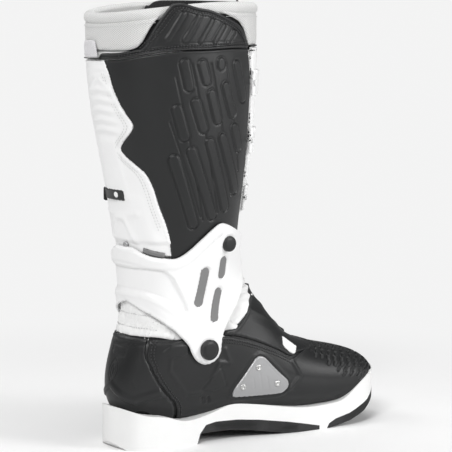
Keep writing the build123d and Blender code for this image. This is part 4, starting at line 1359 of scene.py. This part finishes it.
# Name, place and size in metres, power in watts.
LIGHTS = (("key", (-1.5, -1.3, 1.8), 0.8, 40), ("fill", (1.2, -1.7, 0.9), 0.8, 26),
          ("rim", (-0.9, 1.6, 1.6), 1.2, 13), ("top", (0.1, 0.0, 2.3), 1.2, 15))
LIGHT_TARGET = Vector((0.04, 0, 0.2))


def stage():
    """World, floor and lights."""
    bpy.context.scene.view_settings.view_transform = "Standard"
    world = bpy.data.worlds.new("studio")
    bpy.context.scene.world = world
    world.use_nodes = True
    tree = world.node_tree
    glow = tree.nodes["Background"]
    glow.inputs[0].default_value = (1, 1, 1, 1)
    glow.inputs[1].default_value = AMBIENT
    seen = tree.nodes.new("ShaderNodeBackground")
    seen.inputs[0].default_value = (PAPER, PAPER, PAPER, 1)
    eye = tree.nodes.new("ShaderNodeLightPath")
    both = tree.nodes.new("ShaderNodeMixShader")
    tree.links.new(eye.outputs["Is Camera Ray"], both.inputs[0])
    tree.links.new(glow.outputs[0], both.inputs[1])
    tree.links.new(seen.outputs[0], both.inputs[2])
    tree.links.new(both.outputs[0], tree.nodes["World Output"].inputs[0])

    mesh = bpy.data.meshes.new("floor")
    half = 6.0
    corners = [(-half, -half, 0), (half, -half, 0), (half, half, 0), (-half, half, 0)]
    mesh.from_pydata(corners, [], [(0, 1, 2, 3)])
    floor = bpy.data.objects.new("floor", mesh)
    bpy.context.scene.collection.objects.link(floor)
    mesh.materials.append(floor_paper(PAPER))
    for name, place, size, power in LIGHTS:
        light = bpy.data.lights.new(name, "AREA")
        light.size = size
        light.energy = power
        obj = bpy.data.objects.new(name, light)
        obj.location = place
        obj.rotation_euler = (LIGHT_TARGET - Vector(place)).to_track_quat("-Z", "Y").to_euler()
        bpy.context.scene.collection.objects.link(obj)


VIEW_AZIMUTH, VIEW_ELEVATION = math.radians(-34.5), math.radians(6.8)
VIEW_TARGET = Vector((0.043, 0.0, 0.207))
VIEW_DISTANCE = 1.9
SENSOR = 36.0
FOCAL_IN_SENSORS = 967 / 226        # a long lens
SHIFT = (23 / 226, 2 / 226)         # the boot sits left of the middle and a little low


def camera():
    """The viewer of the finished picture, behind the boot's inner side."""
    back = Vector((math.sin(VIEW_AZIMUTH) * math.cos(VIEW_ELEVATION),
                   -math.cos(VIEW_AZIMUTH) * math.cos(VIEW_ELEVATION), math.sin(VIEW_ELEVATION)))
    data = bpy.data.cameras.new("camera")
    data.sensor_width = SENSOR
    data.lens = FOCAL_IN_SENSORS * SENSOR
    data.shift_x, data.shift_y = SHIFT
    data.clip_start, data.clip_end = 0.05, 50
    obj = bpy.data.objects.new("camera", data)
    obj.location = VIEW_TARGET + back * VIEW_DISTANCE
    obj.rotation_euler = (-back).to_track_quat("-Z", "Y").to_euler()
    bpy.context.scene.collection.objects.link(obj)
    bpy.context.scene.camera = obj


for build in (leg_panels, calf_plate, leather_tube, collar, rear_details, shin, straps, buckles, brace,
              guards, heel, plate_and_screws, soft_ankle, front_ankle, instep, linings, sole, tongue, stage,
              camera):
    build()
